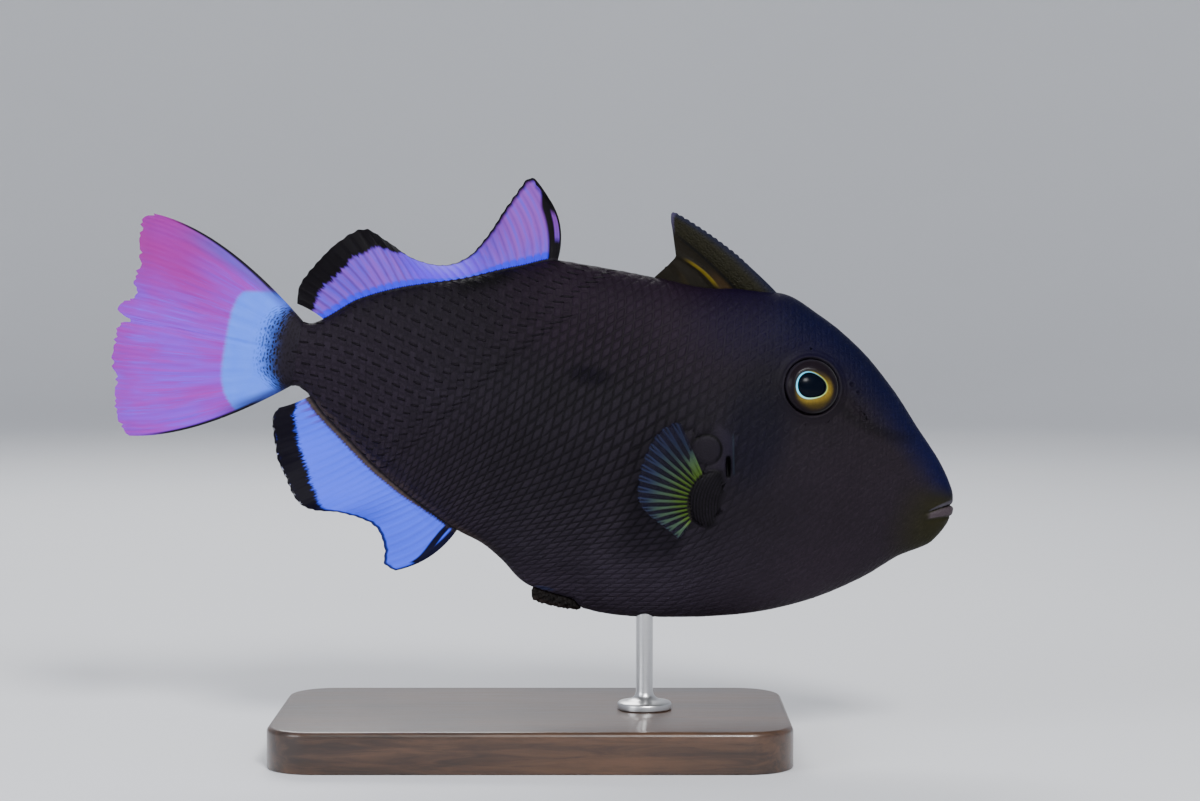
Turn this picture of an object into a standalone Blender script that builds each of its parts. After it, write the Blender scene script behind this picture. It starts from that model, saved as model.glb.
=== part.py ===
"""A still, life-size pinktail triggerfish on a plain display stand.

Lengths below are in millimetres in the fish's own frame: s runs back from the snout, side
runs to the fish's left, and height runs up from the level of the snout. The finished
meshes are in metres, +Z up, with the fish facing +X.
"""
import math
from bisect import bisect_right

import bmesh
import bpy
from mathutils import Matrix, Vector

MM = 0.001
GAP = 0.3
ROOT_GAP = 0.35

# How the fish is held
NOSE_DOWN_DEG = 10.0
SNOUT_X = 123.25
SNOUT_Z = 73.0

# The body from the side: (s, height) of the back and of the belly
BACK_LINE = (
    (0.0, 0.9), (0.6, 3.2), (2.0, 6.3), (5.5, 11.3), (12.9, 19.2), (23.9, 30.9), (34.4, 39.8),
    (47.7, 47.5), (60.4, 52.0), (72.0, 51.2), (84.0, 49.6), (96.6, 50.1), (112.0, 50.3),
    (126.0, 50.2), (137.0, 46.3), (153.4, 39.6), (170.3, 34.0), (181.3, 29.0), (190.5, 21.6),
    (195.0, 19.3), (200.0, 19.6))
BELLY_LINE = (
    (0.0, -5.2), (0.6, -7.2), (2.0, -9.9), (4.5, -13.2), (6.8, -14.8), (12.3, -18.1), (22.6, -26.9),
    (38.7, -36.9), (55.4, -43.4), (78.4, -48.3), (94.0, -50.1), (101.5, -49.7), (105.0, -47.6),
    (112.0, -46.8), (117.5, -46.0), (121.0, -44.6), (127.6, -39.6), (134.1, -35.9),
    (141.4, -33.6), (153.4, -27.9), (166.6, -20.5), (180.3, -10.7), (187.1, -5.6),
    (191.4, -1.6), (195.0, 0.2), (200.0, 0.1))

# The body from above: (s, half width), and the height at which it is widest
HALF_WIDTH = (
    (0.0, 2.2), (0.6, 3.2), (2.3, 4.4), (5.7, 5.8), (12.9, 7.7), (23.9, 10.3), (34.4, 12.5),
    (47.7, 15.0), (60.0, 17.1), (75.0, 18.6), (90.0, 18.8), (105.0, 17.8), (120.0, 15.8),
    (135.0, 13.3), (150.0, 10.7), (165.0, 8.2), (180.0, 6.0), (192.0, 4.7), (200.0, 4.1))
WIDEST_HEIGHT = (
    (0.0, -2.2), (5.7, -2.0), (12.9, -1.0), (34.0, 4.0), (48.0, 6.0), (62.0, 5.0), (80.0, 2.0),
    (110.0, 2.0), (141.0, 4.5), (165.0, 6.5), (192.0, 9.9), (200.0, 9.9))

# Roundness of each section: 2 is an ellipse, less has a keel, more has flatter sides
UPPER_POWER = ((0.0, 2.3), (12.9, 2.1), (60.0, 2.05), (126.0, 1.9), (170.0, 1.85), (200.0, 2.2))
LOWER_POWER = ((0.0, 2.3), (12.9, 2.0), (60.0, 1.7), (120.0, 1.65), (150.0, 1.8), (200.0, 2.2))

# Stations run close together at the snout, then at these pitches up to each s
FRONT_LENGTH = 32.0
FRONT_STATIONS = 10
STATION_RUNS = ((104.0, 6.0), (128.0, 4.0), (188.0, 5.0), (200.0, 3.0))
BODY_SIDES = 28

# Where the head, torso and tail stalk part
PARTING_S = 67.0
PARTING_HEIGHT = -2.4
PARTING_LEAN = -0.155
STALK_S = 192.6

# Eye
EYE_S = 47.6
EYE_HEIGHT = 26.8
EYE_RADIUS = 8.0
EYE_HALF_DEPTH = 3.7
EYE_SINK = 0.6
ORBIT_RADIUS = 12.0
ORBIT_HALF_DEPTH = 2.2
ORBIT_SINK = 0.9

# Mouth: the line runs from the front notch back to each corner
MOUTH_CORNER_S = 7.4
MOUTH_CORNER_SIDE = 6.2
MOUTH_CORNER_HEIGHT = -4.4
MOUTH_FRONT_S = -0.1
MOUTH_FRONT_HEIGHT = -0.4
LIP_SINK = 0.9
UPPER_LIP = (0.9, 0.8, 0.9)
LOWER_LIP = (-1.7, 1.1, 1.5)
LIP_THIN = 0.35
MOUTH_SLIT_HEIGHT = 0.35
MOUTH_SLIT_DEPTH = 1.8
MOUTH_SLIT_REACH = 1.6
MOUTH_SLIT_SHARE = 0.97

# Nostrils and the groove ahead of the eye: (s, height, radius)
NOSTRILS = ((35.9, 29.4, 0.8), (33.6, 27.4, 0.65))
GROOVE_S = 32.6
GROOVE_HEIGHT = 22.6
GROOVE_SIZES = (4.0, 0.9, 0.7)
GROOVE_SLOPE_DEG = 38.0

# Gill slit and the plates behind it: (s, height, radius)
GILL_S = 67.5
GILL_HEIGHT = 0.4
GILL_SLIT_SIZES = (0.9, 3.6, 4.6)
GILL_SLIT_LEAN_DEG = 11.0
GILL_PLATES = ((74.6, 3.9, 3.9), (80.2, 5.8, 2.6), (80.0, 0.4, 2.5), (76.8, 10.0, 2.3))
GILL_PLATE_RISE = 0.7

# Pectoral fin and the fleshy lobe that carries it
PECTORAL_ROOT = (
    (74.2, -2.4), (76.4, -5.6), (77.6, -9.4), (77.6, -12.2), (76.8, -15.2), (75.0, -18.0))
PECTORAL_TIPS = (
    (84.1, 11.2), (87.2, 9.5), (89.7, 6.8), (91.6, 2.0), (92.6, -3.7), (92.6, -8.1),
    (91.6, -12.8), (88.8, -15.9), (85.0, -18.4), (81.0, -20.7), (77.9, -22.6))
PECTORAL_ROOT_SIDE = 19.5
PECTORAL_OUT_DEG = 47.0
PECTORAL_RAYS = 14
PECTORAL_ROWS = 5
PECTORAL_INSET = 0.04
PECTORAL_CUP = 1.5
LOBE_LENGTH = 8.6
LOBE_HALF_DEPTH = 4.2
LOBE_COLUMNS = 10
LOBE_ROWS = 5
LOBE_HEIGHT = -10.2
LOBE_RIM = 0.8
LOBE_FLARE = 0.2

# First dorsal fin, front to rear: (root s, tip s, tip height, bow, half depth at root and tip)
SPINE_LINES = (
    (60.8, 95.6, 69.6, 1.5, 0.90, 0.55),
    (63.2, 96.0, 69.0, 1.5, 2.00, 0.85),
    (66.6, 95.9, 68.0, 1.2, 2.30, 0.90),
    (69.8, 95.6, 66.6, 0.9, 1.70, 0.75),
    (72.4, 94.8, 64.4, 0.6, 0.60, 0.45),
    (74.6, 94.1, 62.2, 0.6, 0.30, 0.26),
    (76.4, 93.2, 59.4, 1.0, 0.34, 0.26),
    (78.2, 92.5, 57.1, 1.4, 0.95, 0.36),
    (80.6, 92.7, 56.5, 1.1, 0.34, 0.26),
    (84.0, 93.1, 55.8, 0.8, 0.30, 0.26),
    (87.6, 93.6, 55.1, 0.5, 0.75, 0.34),
    (92.0, 94.1, 54.3, 0.2, 0.32, 0.26),
    (98.0, 94.8, 53.3, -0.1, 0.30, 0.26))
SPINE_KNOBS = 9
SPINE_KNOB_RISE = 0.35

# Soft dorsal fin
DORSAL_ROOT_S = (126.4, 190.6)
DORSAL_EDGE = (
    (137.5, 72.8), (140.2, 70.6), (144.0, 62.4), (148.3, 52.7), (153.0, 45.9), (159.8, 42.3),
    (168.9, 42.8), (176.9, 46.5), (183.9, 49.1), (190.0, 44.5), (194.8, 38.0), (199.3, 29.7),
    (199.2, 24.2))
DORSAL_RAYS = 32
DORSAL_BOW = 6.6
DORSAL_LEAN = ((0.0, -1.5), (0.14, 1.5), (0.42, 12.5), (0.56, 10.0), (0.8, -3.0), (1.0, -1.0))

# Anal fin
ANAL_ROOT_S = (141.8, 190.8)
ANAL_EDGE = (
    (158.1, -48.4), (161.2, -47.0), (161.9, -43.1), (164.0, -38.2), (167.6, -35.3),
    (176.2, -33.5), (186.6, -33.8), (191.0, -30.5), (194.2, -25.9), (197.3, -22.0),
    (199.5, -16.4), (200.9, -9.8), (199.6, -7.0))
ANAL_RAYS = 28
ANAL_BOW = 4.0
ANAL_LEAN = ((0.0, 1.0), (0.2, 0.0), (0.45, -7.5), (0.7, -3.0), (0.85, 2.0), (1.0, 1.0))

# Both soft fins: the front rays bow, the rest hardly do, and all lean more towards the edge
SOFT_FIN_ROWS = 5
BOWED_SHARE = 0.25
REST_BOW = 0.8
LEAN_POWER = 1.4

# Tail fin, whose rays each split in two
TAIL_ROOT_S = 200.3
TAIL_ROOT_HEIGHTS = (19.3, 0.4)
TAIL_EDGE = (
    (245.3, 42.8), (248.4, 40.6), (248.2, 34.5), (247.2, 28.0), (247.9, 22.6), (246.6, 18.2),
    (250.4, 15.4), (251.0, 12.6), (247.0, 10.7), (250.4, 8.8), (250.6, 3.0), (250.5, -2.0),
    (248.4, -7.5), (247.5, -13.0), (246.4, -17.6), (242.1, -22.8))
TAIL_RAYS = 12
TAIL_ROWS = 8
TAIL_TOP_BOW = 8.5
TAIL_BOTTOM_BOW = -6.8
TAIL_BOW_PEAK = 0.64
TAIL_CURL = 2.5
TAIL_FLESH_HALF = 3.9
TAIL_FLESH_SHARE = 0.3
TAIL_STEM_SWELL = 1.15
TAIL_SPLIT_START = 0.25
TAIL_SPLIT_RUN = 0.3

# Pelvic spine: a rough stub under the belly's lowest point, (s, bottom height, half width)
PELVIC_LINE = (
    (104.0, -49.3, 0.9), (105.2, -50.0, 1.6), (107.5, -50.4, 1.9), (110.0, -50.3, 1.9),
    (113.0, -50.1, 1.8), (115.8, -49.6, 1.6), (117.2, -48.2, 1.0))
PELVIC_STATIONS = 17
PELVIC_SIDES = 12
PELVIC_KNOB = 0.28

# Fin rays stand out of both faces of their membrane by these half thicknesses, root to edge
RAY_HALF = (0.80, 0.38)
MEMBRANE_HALF = (0.27, 0.25)
SHEATH_HALF = 0.5
SHEATH_SHARE = 0.18

# Stand
BASE_LENGTH = 150.0
BASE_DEPTH = 84.0
BASE_HEIGHT = 12.0
BASE_CORNER = 14.0
BASE_BEVEL = 1.6
ROD_X = 33.0
ROD_RADIUS = 2.5
ROD_IN_BODY = 5.0
ROD_IN_BASE = 7.0
FLANGE_RADIUS = 8.0
FLANGE_HEIGHT = 3.0
ROD_ROUNDING = 0.6
ROD_HOLE_LENGTH = 60.0
ROD_SEGMENTS = 20

COLORS = {
    "head": (0.045, 0.035, 0.034), "torso": (0.035, 0.028, 0.032), "tail_stalk": (0.30, 0.36, 0.45),
    "tail_fin": (0.62, 0.26, 0.42), "spiny_dorsal_fin": (0.10, 0.08, 0.05),
    "soft_dorsal_fin": (0.45, 0.33, 0.50), "anal_fin": (0.50, 0.48, 0.62),
    "pectoral_fin": (0.30, 0.33, 0.14), "eye": (0.02, 0.02, 0.03),
    "pelvic_spine": (0.14, 0.10, 0.07), "stand_base": (0.16, 0.09, 0.05),
    "stand_rod": (0.60, 0.60, 0.60)}
METALS = ("stand_rod",)
SMOOTH_CREASE_DEG = 50.0
RAY_CREASE_DEG = 8.0


def clear_scene():
    for old in list(bpy.data.objects):
        bpy.data.objects.remove(old, do_unlink=True)


def material_for(name):
    """The Principled material of one part of the model."""
    family = next(key for key in COLORS if name.startswith(key))
    material = bpy.data.materials.new(name)
    material.use_nodes = True
    shader = material.node_tree.nodes["Principled BSDF"]
    shader.inputs["Base Color"].default_value = (*COLORS[family], 1.0)
    shader.inputs["Roughness"].default_value = 0.3 if family in METALS else 0.45
    shader.inputs["Metallic"].default_value = 1.0 if family in METALS else 0.0
    return material


def smooth_line(points):
    """A curve of one value along s that runs through the points and never swings past them."""
    places = [math.sqrt(place) for place, value in points]
    values = [value for place, value in points]
    rises = []
    for left in range(len(points) - 1):
        rises.append((values[left + 1] - values[left]) / (places[left + 1] - places[left]))
    slopes = [rises[0]]
    for before, after in zip(rises, rises[1:]):
        slopes.append(2 * before * after / (before + after) if before * after > 0 else 0.0)
    slopes.append(rises[-1])

    def value_at(s):
        place = math.sqrt(max(s, 0.0))
        left = min(max(bisect_right(places, place) - 1, 0), len(rises) - 1)
        width = places[left + 1] - places[left]
        t = min(max((place - places[left]) / width, 0.0), 1.0)
        start = (1 + 2 * t) * (1 - t) ** 2 * values[left]
        end = t * t * (3 - 2 * t) * values[left + 1]
        bends = t * (1 - t) * ((1 - t) * slopes[left] - t * slopes[left + 1]) * width
        return start + end + bends

    return value_at


def smooth_path(points):
    """A curve through points in the side view, read by its share of the whole length."""
    spots = [Vector(point) for point in points]
    runs = [0.0]
    for before, after in zip(spots, spots[1:]):
        runs.append(runs[-1] + (after - before).length)
    tangents = []
    for index in range(len(spots)):
        low = max(index - 1, 0)
        high = min(index + 1, len(spots) - 1)
        tangents.append((spots[high] - spots[low]) / (runs[high] - runs[low]))

    def spot_at(share):
        run = min(max(share, 0.0), 1.0) * runs[-1]
        left = min(max(bisect_right(runs, run) - 1, 0), len(spots) - 2)
        width = runs[left + 1] - runs[left]
        t = (run - runs[left]) / width
        start = spots[left] * ((1 + 2 * t) * (1 - t) ** 2)
        end = spots[left + 1] * (t * t * (3 - 2 * t))
        bends = (tangents[left] * (1 - t) - tangents[left + 1] * t) * (t * (1 - t) * width)
        return start + end + bends

    return spot_at


back_at = smooth_line(BACK_LINE)
belly_at = smooth_line(BELLY_LINE)
half_width_at = smooth_line(HALF_WIDTH)
widest_height_at = smooth_line(WIDEST_HEIGHT)
upper_power_at = smooth_line(UPPER_POWER)
lower_power_at = smooth_line(LOWER_POWER)
pectoral_path = smooth_path(PECTORAL_ROOT)


def place(s, side, height):
    """A point of the fish's frame, in metres."""
    return Vector((-s, side, height)) * MM


def body_point(s, around):
    """A point of the skin at s. around runs from the keel, up the left side and down the right."""
    angle = math.tau * around - math.pi / 2
    across, rise = math.cos(angle), math.sin(angle)
    middle = widest_height_at(s)
    if rise < 0:
        power = lower_power_at(s)
        reach = middle - belly_at(s)
    else:
        power = upper_power_at(s)
        reach = back_at(s) - middle
    side = math.copysign(abs(across) ** (2 / power), across) * half_width_at(s)
    height = middle + math.copysign(abs(rise) ** (2 / power), rise) * reach
    if abs(side) < 1e-6:
        side = 0.0
    return place(s, side, height)


def skin_side(s, height):
    """Half the width of the body at s and a height."""
    middle = widest_height_at(s)
    if height < middle:
        power = lower_power_at(s)
        share = (middle - height) / (middle - belly_at(s))
    else:
        power = upper_power_at(s)
        share = (height - middle) / (back_at(s) - middle)
    return half_width_at(s) * (1 - min(share, 1.0) ** power) ** (1 / power)


def skin_normal(s, height, hand):
    """The outward direction of the skin on one hand of the body, -1 right or 1 left."""
    step = 1.0
    slope_back = (skin_side(s + step, height) - skin_side(s - step, height)) / (2 * step)
    slope_up = (skin_side(s, height + step) - skin_side(s, height - step)) / (2 * step)
    return Vector((slope_back, hand, -slope_up)).normalized()


def unit_grid(bm, columns, rows):
    """A grid whose vertices run from 0 to 1 along x and y."""
    made = bmesh.ops.create_grid(bm, x_segments=columns, y_segments=rows, size=0.5)
    low = min(vert.co.x for vert in made["verts"])
    high = max(vert.co.x for vert in made["verts"])
    for vert in made["verts"]:
        vert.co.x = (vert.co.x - low) / (high - low)
        vert.co.y = (vert.co.y - low) / (high - low)
    return made["verts"]


def tube(along, around, point_at):
    """A closed bmesh tube: point_at takes the shares along it and around it."""
    bm = bmesh.new()
    for vert in unit_grid(bm, along, around):
        vert.co = point_at(vert.co.x, vert.co.y % 1.0)
    bmesh.ops.remove_doubles(bm, verts=bm.verts, dist=1e-7)
    bmesh.ops.holes_fill(bm, edges=bm.edges, sides=0)
    bmesh.ops.recalc_face_normals(bm, faces=bm.faces)
    return bm


def ridged_sheet(columns, rows, middle, half):
    """A closed fin: a grid on the middle surface, thickened to both sides by half its depth."""
    bm = bmesh.new()
    across = bm.verts.layers.float.new("across")
    outward = bm.verts.layers.float.new("outward")
    for vert in unit_grid(bm, columns, rows):
        vert[across] = vert.co.x
        vert[outward] = vert.co.y
    bmesh.ops.triangulate(bm, faces=bm.faces, quad_method="FIXED")
    copied = bmesh.ops.extrude_face_region(bm, geom=bm.faces[:], use_keep_orig=True)
    far_side = {item for item in copied["geom"] if isinstance(item, bmesh.types.BMVert)}
    step = 0.01
    for vert in bm.verts:
        u, v = vert[across], vert[outward]
        along = middle(min(u + step, 1.0), v) - middle(max(u - step, 0.0), v)
        out = middle(u, min(v + step, 1.0)) - middle(u, max(v - step, 0.0))
        normal = along.cross(out).normalized()
        sign = 1.0 if vert in far_side else -1.0
        vert.co = middle(u, v) + normal * (sign * half(u, v) * MM)
    bmesh.ops.recalc_face_normals(bm, faces=bm.faces)
    bmesh.ops.triangulate(bm, faces=bm.faces)
    return bm


def add_object(name, bm, parent=None, crease_deg=SMOOTH_CREASE_DEG):
    """An object from a bmesh, shaded smooth but for creases sharper than an angle."""
    mesh = bpy.data.meshes.new(name)
    bm.to_mesh(mesh)
    bm.free()
    mesh.shade_smooth()
    mesh.set_sharp_from_angle(angle=math.radians(crease_deg))
    made = bpy.data.objects.new(name, mesh)
    bpy.context.collection.objects.link(made)
    made.parent = parent
    return made


def add_node(name, bm, parent=None, crease_deg=SMOOTH_CREASE_DEG):
    """A named piece of the finished model."""
    node = add_object(name, bm, parent, crease_deg)
    node.data.materials.append(material_for(name))
    return node


def volume(shell):
    """The volume inside a closed surface, whichever way its faces point."""
    cones = [face.calc_area() * face.normal.dot(face.calc_center_median()) for face in shell]
    return abs(sum(cones)) / 3


def keep_largest(bm):
    """Keep only the closed surface with the most volume."""
    left = set(bm.faces)
    shells = []
    while left:
        shell = {left.pop()}
        waiting = list(shell)
        while waiting:
            face = waiting.pop()
            for edge in face.edges:
                for other in edge.link_faces:
                    if other in left:
                        left.remove(other)
                        shell.add(other)
                        waiting.append(other)
        shells.append(shell)
    keep = max(shells, key=volume)
    drop = [face for face in bm.faces if face not in keep]
    bmesh.ops.delete(bm, geom=drop, context="FACES")


def combined(name, target, pieces, operation):
    """One Boolean of a bmesh with a collection of closed bmeshes, applied and tidied."""
    base = add_object(name, target)
    group = bpy.data.collections.new(name + "_pieces")
    bpy.context.scene.collection.children.link(group)
    helpers = []
    for number, piece in enumerate(pieces):
        helper = add_object(f"{name}_piece_{number}", piece)
        helper.hide_render = True
        helper.display_type = "WIRE"
        bpy.context.collection.objects.unlink(helper)
        group.objects.link(helper)
        helpers.append(helper)
    boolean = base.modifiers.new(operation.lower(), "BOOLEAN")
    boolean.operation = operation
    boolean.operand_type = "COLLECTION"
    boolean.collection = group
    boolean.solver = "EXACT"
    evaluated = base.evaluated_get(bpy.context.evaluated_depsgraph_get())
    result = bmesh.new()
    result.from_mesh(evaluated.to_mesh())
    evaluated.to_mesh_clear()
    for spent in helpers + [base]:
        bpy.data.objects.remove(spent, do_unlink=True)
    bpy.data.collections.remove(group)
    bmesh.ops.remove_doubles(result, verts=result.verts, dist=1e-6)
    result.normal_update()
    keep_largest(result)
    return result


def ball(center, radii, turn=None, segments=20, rings=12):
    """A closed ellipsoid with its own turn."""
    bm = bmesh.new()
    bmesh.ops.create_uvsphere(bm, u_segments=segments, v_segments=rings, radius=1.0)
    size = Matrix.Diagonal((*[radius * MM for radius in radii], 1.0))
    turned = turn.to_matrix().to_4x4() if turn else Matrix.Identity(4)
    bm.transform(Matrix.Translation(center) @ turned @ size)
    return bm


def body_stations():
    """The places of the body's sections, from the snout to the end of the tail stalk."""
    places = [FRONT_LENGTH * (step / FRONT_STATIONS) ** 2 for step in range(FRONT_STATIONS + 1)]
    for end, pitch in STATION_RUNS:
        start = places[-1]
        steps = round((end - start) / pitch)
        places += [start + (end - start) * (step + 1) / steps for step in range(steps)]
    return places


def plain_body():
    stations = body_stations()
    last = len(stations) - 1

    def point_at(along, around):
        return body_point(stations[round(along * last)], around)

    return tube(last, BODY_SIDES, point_at)


def mouth_point(sweep, out, up):
    """A point by the mouth line; sweep runs -1 to 1 from the right corner to the left one."""
    angle = sweep * math.pi / 2
    length = MOUTH_CORNER_S - MOUTH_FRONT_S
    s = MOUTH_CORNER_S - (length + out) * math.cos(angle)
    side = (MOUTH_CORNER_SIDE + out) * math.sin(angle)
    height = MOUTH_CORNER_HEIGHT + (MOUTH_FRONT_HEIGHT - MOUTH_CORNER_HEIGHT) * math.cos(angle)
    return place(s, side, height + up)


def lip(rise, out, half_height):
    """A rounded lip along the mouth line that thins towards the corners."""
    def point_at(along, around):
        sweep = 2 * along - 1
        full = LIP_THIN + (1 - LIP_THIN) * math.cos(sweep * math.pi / 2) ** 0.5
        angle = math.tau * around
        return mouth_point(sweep * 1.02, out * full * math.cos(angle) - LIP_SINK,
                           rise * full + half_height * full * math.sin(angle))

    return tube(12, 7, point_at)


def mouth_slit():
    """A thin curved slot between the lips."""
    half = MOUTH_SLIT_HEIGHT / 2
    corners = (
        (MOUTH_SLIT_REACH, -half), (MOUTH_SLIT_REACH, half), (-MOUTH_SLIT_DEPTH, half),
        (-MOUTH_SLIT_DEPTH, -half))

    def point_at(along, around):
        out, up = corners[round(around * len(corners)) % len(corners)]
        return mouth_point(MOUTH_SLIT_SHARE * (2 * along - 1), out, up)

    return tube(14, len(corners), point_at)


def on_skin(s, height, hand, sink=0.0):
    """A point on the skin, or sunk under it."""
    point = place(s, hand * skin_side(s, height), height)
    return point - skin_normal(s, height, hand) * (sink * MM)


def facing(normal):
    """The turn that points a shape's +Z along a normal."""
    return normal.to_track_quat("Z", "Y")


def orbit(hand):
    """The low mound round the eye."""
    normal = skin_normal(EYE_S, EYE_HEIGHT, hand)
    radii = (ORBIT_RADIUS, ORBIT_RADIUS, ORBIT_HALF_DEPTH)
    center = on_skin(EYE_S, EYE_HEIGHT, hand, ORBIT_SINK)
    return ball(center, radii, facing(normal), segments=22, rings=8)


def eye_shape(hand, clearance):
    """The eyeball, or the socket round it when it is given a clearance."""
    normal = skin_normal(EYE_S, EYE_HEIGHT, hand)
    radius = EYE_RADIUS + clearance
    radii = (radius, radius, EYE_HALF_DEPTH + clearance)
    center = on_skin(EYE_S, EYE_HEIGHT, hand, EYE_SINK)
    return ball(center, radii, facing(normal), segments=22, rings=10)


def gill_plate(s, height, radius, hand):
    normal = skin_normal(s, height, hand)
    radii = (radius, radius, GILL_PLATE_RISE)
    return ball(on_skin(s, height, hand, 0.1), radii, facing(normal), segments=10, rings=6)


def groove(hand):
    normal = skin_normal(GROOVE_S, GROOVE_HEIGHT, hand)
    slope = math.radians(GROOVE_SLOPE_DEG)
    along = place(math.cos(slope), 0.0, math.sin(slope)).normalized()
    across = normal.cross(along).normalized()
    along = across.cross(normal)
    turn = Matrix((along, across, normal)).transposed().to_quaternion()
    return ball(on_skin(GROOVE_S, GROOVE_HEIGHT, hand), GROOVE_SIZES, turn, 12, 8)


def nostril(s, height, radius, hand):
    return ball(on_skin(s, height, hand), (radius, radius, radius), segments=8, rings=6)


def gill_slit(hand):
    center = on_skin(GILL_S, GILL_HEIGHT, hand)
    lean = Matrix.Rotation(-math.radians(GILL_SLIT_LEAN_DEG), 3, "Y").to_quaternion()
    return ball(center, GILL_SLIT_SIZES, lean, 10, 12)


def pectoral_root(u):
    """A point of the fin's root, kept a little inside both ends of the lobe."""
    return pectoral_path(PECTORAL_INSET + (1 - 2 * PECTORAL_INSET) * u)


def pectoral_lobe(hand):
    """The fleshy base: an oval sleeve that runs forward and inward from the fin's root."""
    slope = math.radians(PECTORAL_OUT_DEG)

    def middle(u, v):
        spot = pectoral_root(u)
        run = GAP + LOBE_LENGTH * v
        flare = 1 + LOBE_FLARE * v
        height = LOBE_HEIGHT + (spot.y - LOBE_HEIGHT) * flare
        side = PECTORAL_ROOT_SIDE - run * math.sin(slope)
        return place(spot.x - run * math.cos(slope), hand * side, height)

    def half(u, v):
        oval = max(1 - (2 * u - 1) ** 4, 0.0) ** 0.5
        swell = 0.2 + 0.8 * math.sin(min(v * 1.5, 1.0) * math.pi / 2)
        return LOBE_RIM + (LOBE_HALF_DEPTH - LOBE_RIM) * oval * swell

    return ridged_sheet(LOBE_COLUMNS, LOBE_ROWS, middle, half)


def rod_bore(length, top):
    """A closed upright cylinder that clears the stand's rod, in the world."""
    bm = bmesh.new()
    radius = (ROD_RADIUS + GAP) * MM
    bmesh.ops.create_cone(bm, cap_ends=True, segments=ROD_SEGMENTS, depth=length * MM,
                          radius1=radius, radius2=radius)
    bm.transform(Matrix.Translation(Vector((ROD_X, 0.0, top - length / 2)) * MM))
    return bm


def rod_hole():
    """The socket in the belly for the stand's rod, upright in the world."""
    bm = rod_bore(ROD_HOLE_LENGTH, rod_top() + GAP)
    bm.transform(pose_matrix().inverted())
    return bm


def pose_matrix():
    """The fish's frame in the world: nose down, over the stand."""
    turn = Matrix.Rotation(math.radians(NOSE_DOWN_DEG), 4, "Y")
    return Matrix.Translation(Vector((SNOUT_X, 0.0, SNOUT_Z)) * MM) @ turn


def rod_top():
    """The height of the rod's end, a set depth above the belly's skin there."""
    inverse = pose_matrix().inverted()
    height = BASE_HEIGHT
    while height < SNOUT_Z + 60.0:
        spot = inverse @ (Vector((ROD_X, 0.0, height)) * MM)
        if spot.z / MM > belly_at(-spot.x / MM):
            return height + ROD_IN_BODY
        height += 0.25
    return height


def sliced(bm, point, normal, keep_front):
    """A closed copy of the part of a body on one side of a plane."""
    piece = bm.copy()
    geometry = piece.verts[:] + piece.edges[:] + piece.faces[:]
    bmesh.ops.bisect_plane(piece, geom=geometry, plane_co=point, plane_no=normal, dist=1e-7,
                           clear_outer=not keep_front, clear_inner=keep_front)
    open_edges = [edge for edge in piece.edges if edge.is_boundary]
    bmesh.ops.edgenet_fill(piece, edges=open_edges)
    bmesh.ops.triangulate(piece, faces=piece.faces)
    bmesh.ops.recalc_face_normals(piece, faces=piece.faces)
    return piece


def make_flesh(fish):
    """Head, torso and tail stalk: one body, parted behind the gill slit and by the fins' end."""
    hands = (-1, 1)
    swellings = [orbit(hand) for hand in hands]
    swellings += [pectoral_lobe(hand) for hand in hands]
    swellings += [gill_plate(*plate, hand) for plate in GILL_PLATES for hand in hands]
    swellings += [lip(*UPPER_LIP), lip(*LOWER_LIP)]
    body = combined("body", plain_body(), swellings, "UNION")

    hollows = [eye_shape(hand, GAP) for hand in hands]
    hollows += [mouth_slit(), rod_hole()]
    hollows += [groove(hand) for hand in hands]
    hollows += [nostril(*opening, hand) for opening in NOSTRILS for hand in hands]
    body = combined("body", body, hollows, "DIFFERENCE")

    forward = Vector((1.0, 0.0, PARTING_LEAN)).normalized()
    parting = place(PARTING_S, 0.0, PARTING_HEIGHT)
    half_gap = forward * (GAP / 2 * MM)
    head = sliced(body, parting + half_gap, forward, True)
    behind = sliced(body, parting - half_gap, forward, False)
    stalk_point = place(STALK_S, 0.0, 0.0)
    along = Vector((1.0, 0.0, 0.0))
    half_gap = along * (GAP / 2 * MM)
    torso = sliced(behind, stalk_point + half_gap, along, True)
    stalk = sliced(behind, stalk_point - half_gap, along, False)
    body.free()
    behind.free()

    slits = [gill_slit(hand) for hand in hands]
    add_node("head", combined("head", head, slits, "DIFFERENCE"), fish)
    slits = [gill_slit(hand) for hand in hands]
    add_node("torso", combined("torso", torso, slits, "DIFFERENCE"), fish)
    add_node("tail_stalk", stalk, fish)


def make_eyes(fish):
    for side_name, hand in (("right", -1), ("left", 1)):
        add_node(f"eye_{side_name}", eye_shape(hand, 0.0), fish)


def off_outline(line_at, s, distance):
    """A point of the side view at a distance above the back line or below the belly line."""
    step = 0.5
    slope = (line_at(s + step) - line_at(s - step)) / (2 * step)
    upright = Vector((-slope, 1.0)).normalized()
    return Vector((s, line_at(s))) + upright * distance


def ray_half(u, v, columns):
    """Half thickness of a fin with a ray on every second column."""
    on_ray = round(u * columns) % 2 == 1
    root, edge = RAY_HALF if on_ray else MEMBRANE_HALF
    sheath = SHEATH_HALF * max(1 - v / SHEATH_SHARE, 0.0)
    return root + (edge - root) * v + (0.0 if on_ray else sheath)


def bowed(root, tip, bow, v, peak=0.5):
    """A point at share v of a ray that bows to the left of its own direction, most at a peak."""
    chord = tip - root
    sideways = Vector((-chord.y, chord.x)).normalized()
    control = root + chord * peak + sideways * bow
    return root * (1 - v) ** 2 + control * (2 * v * (1 - v)) + tip * v ** 2


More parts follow.
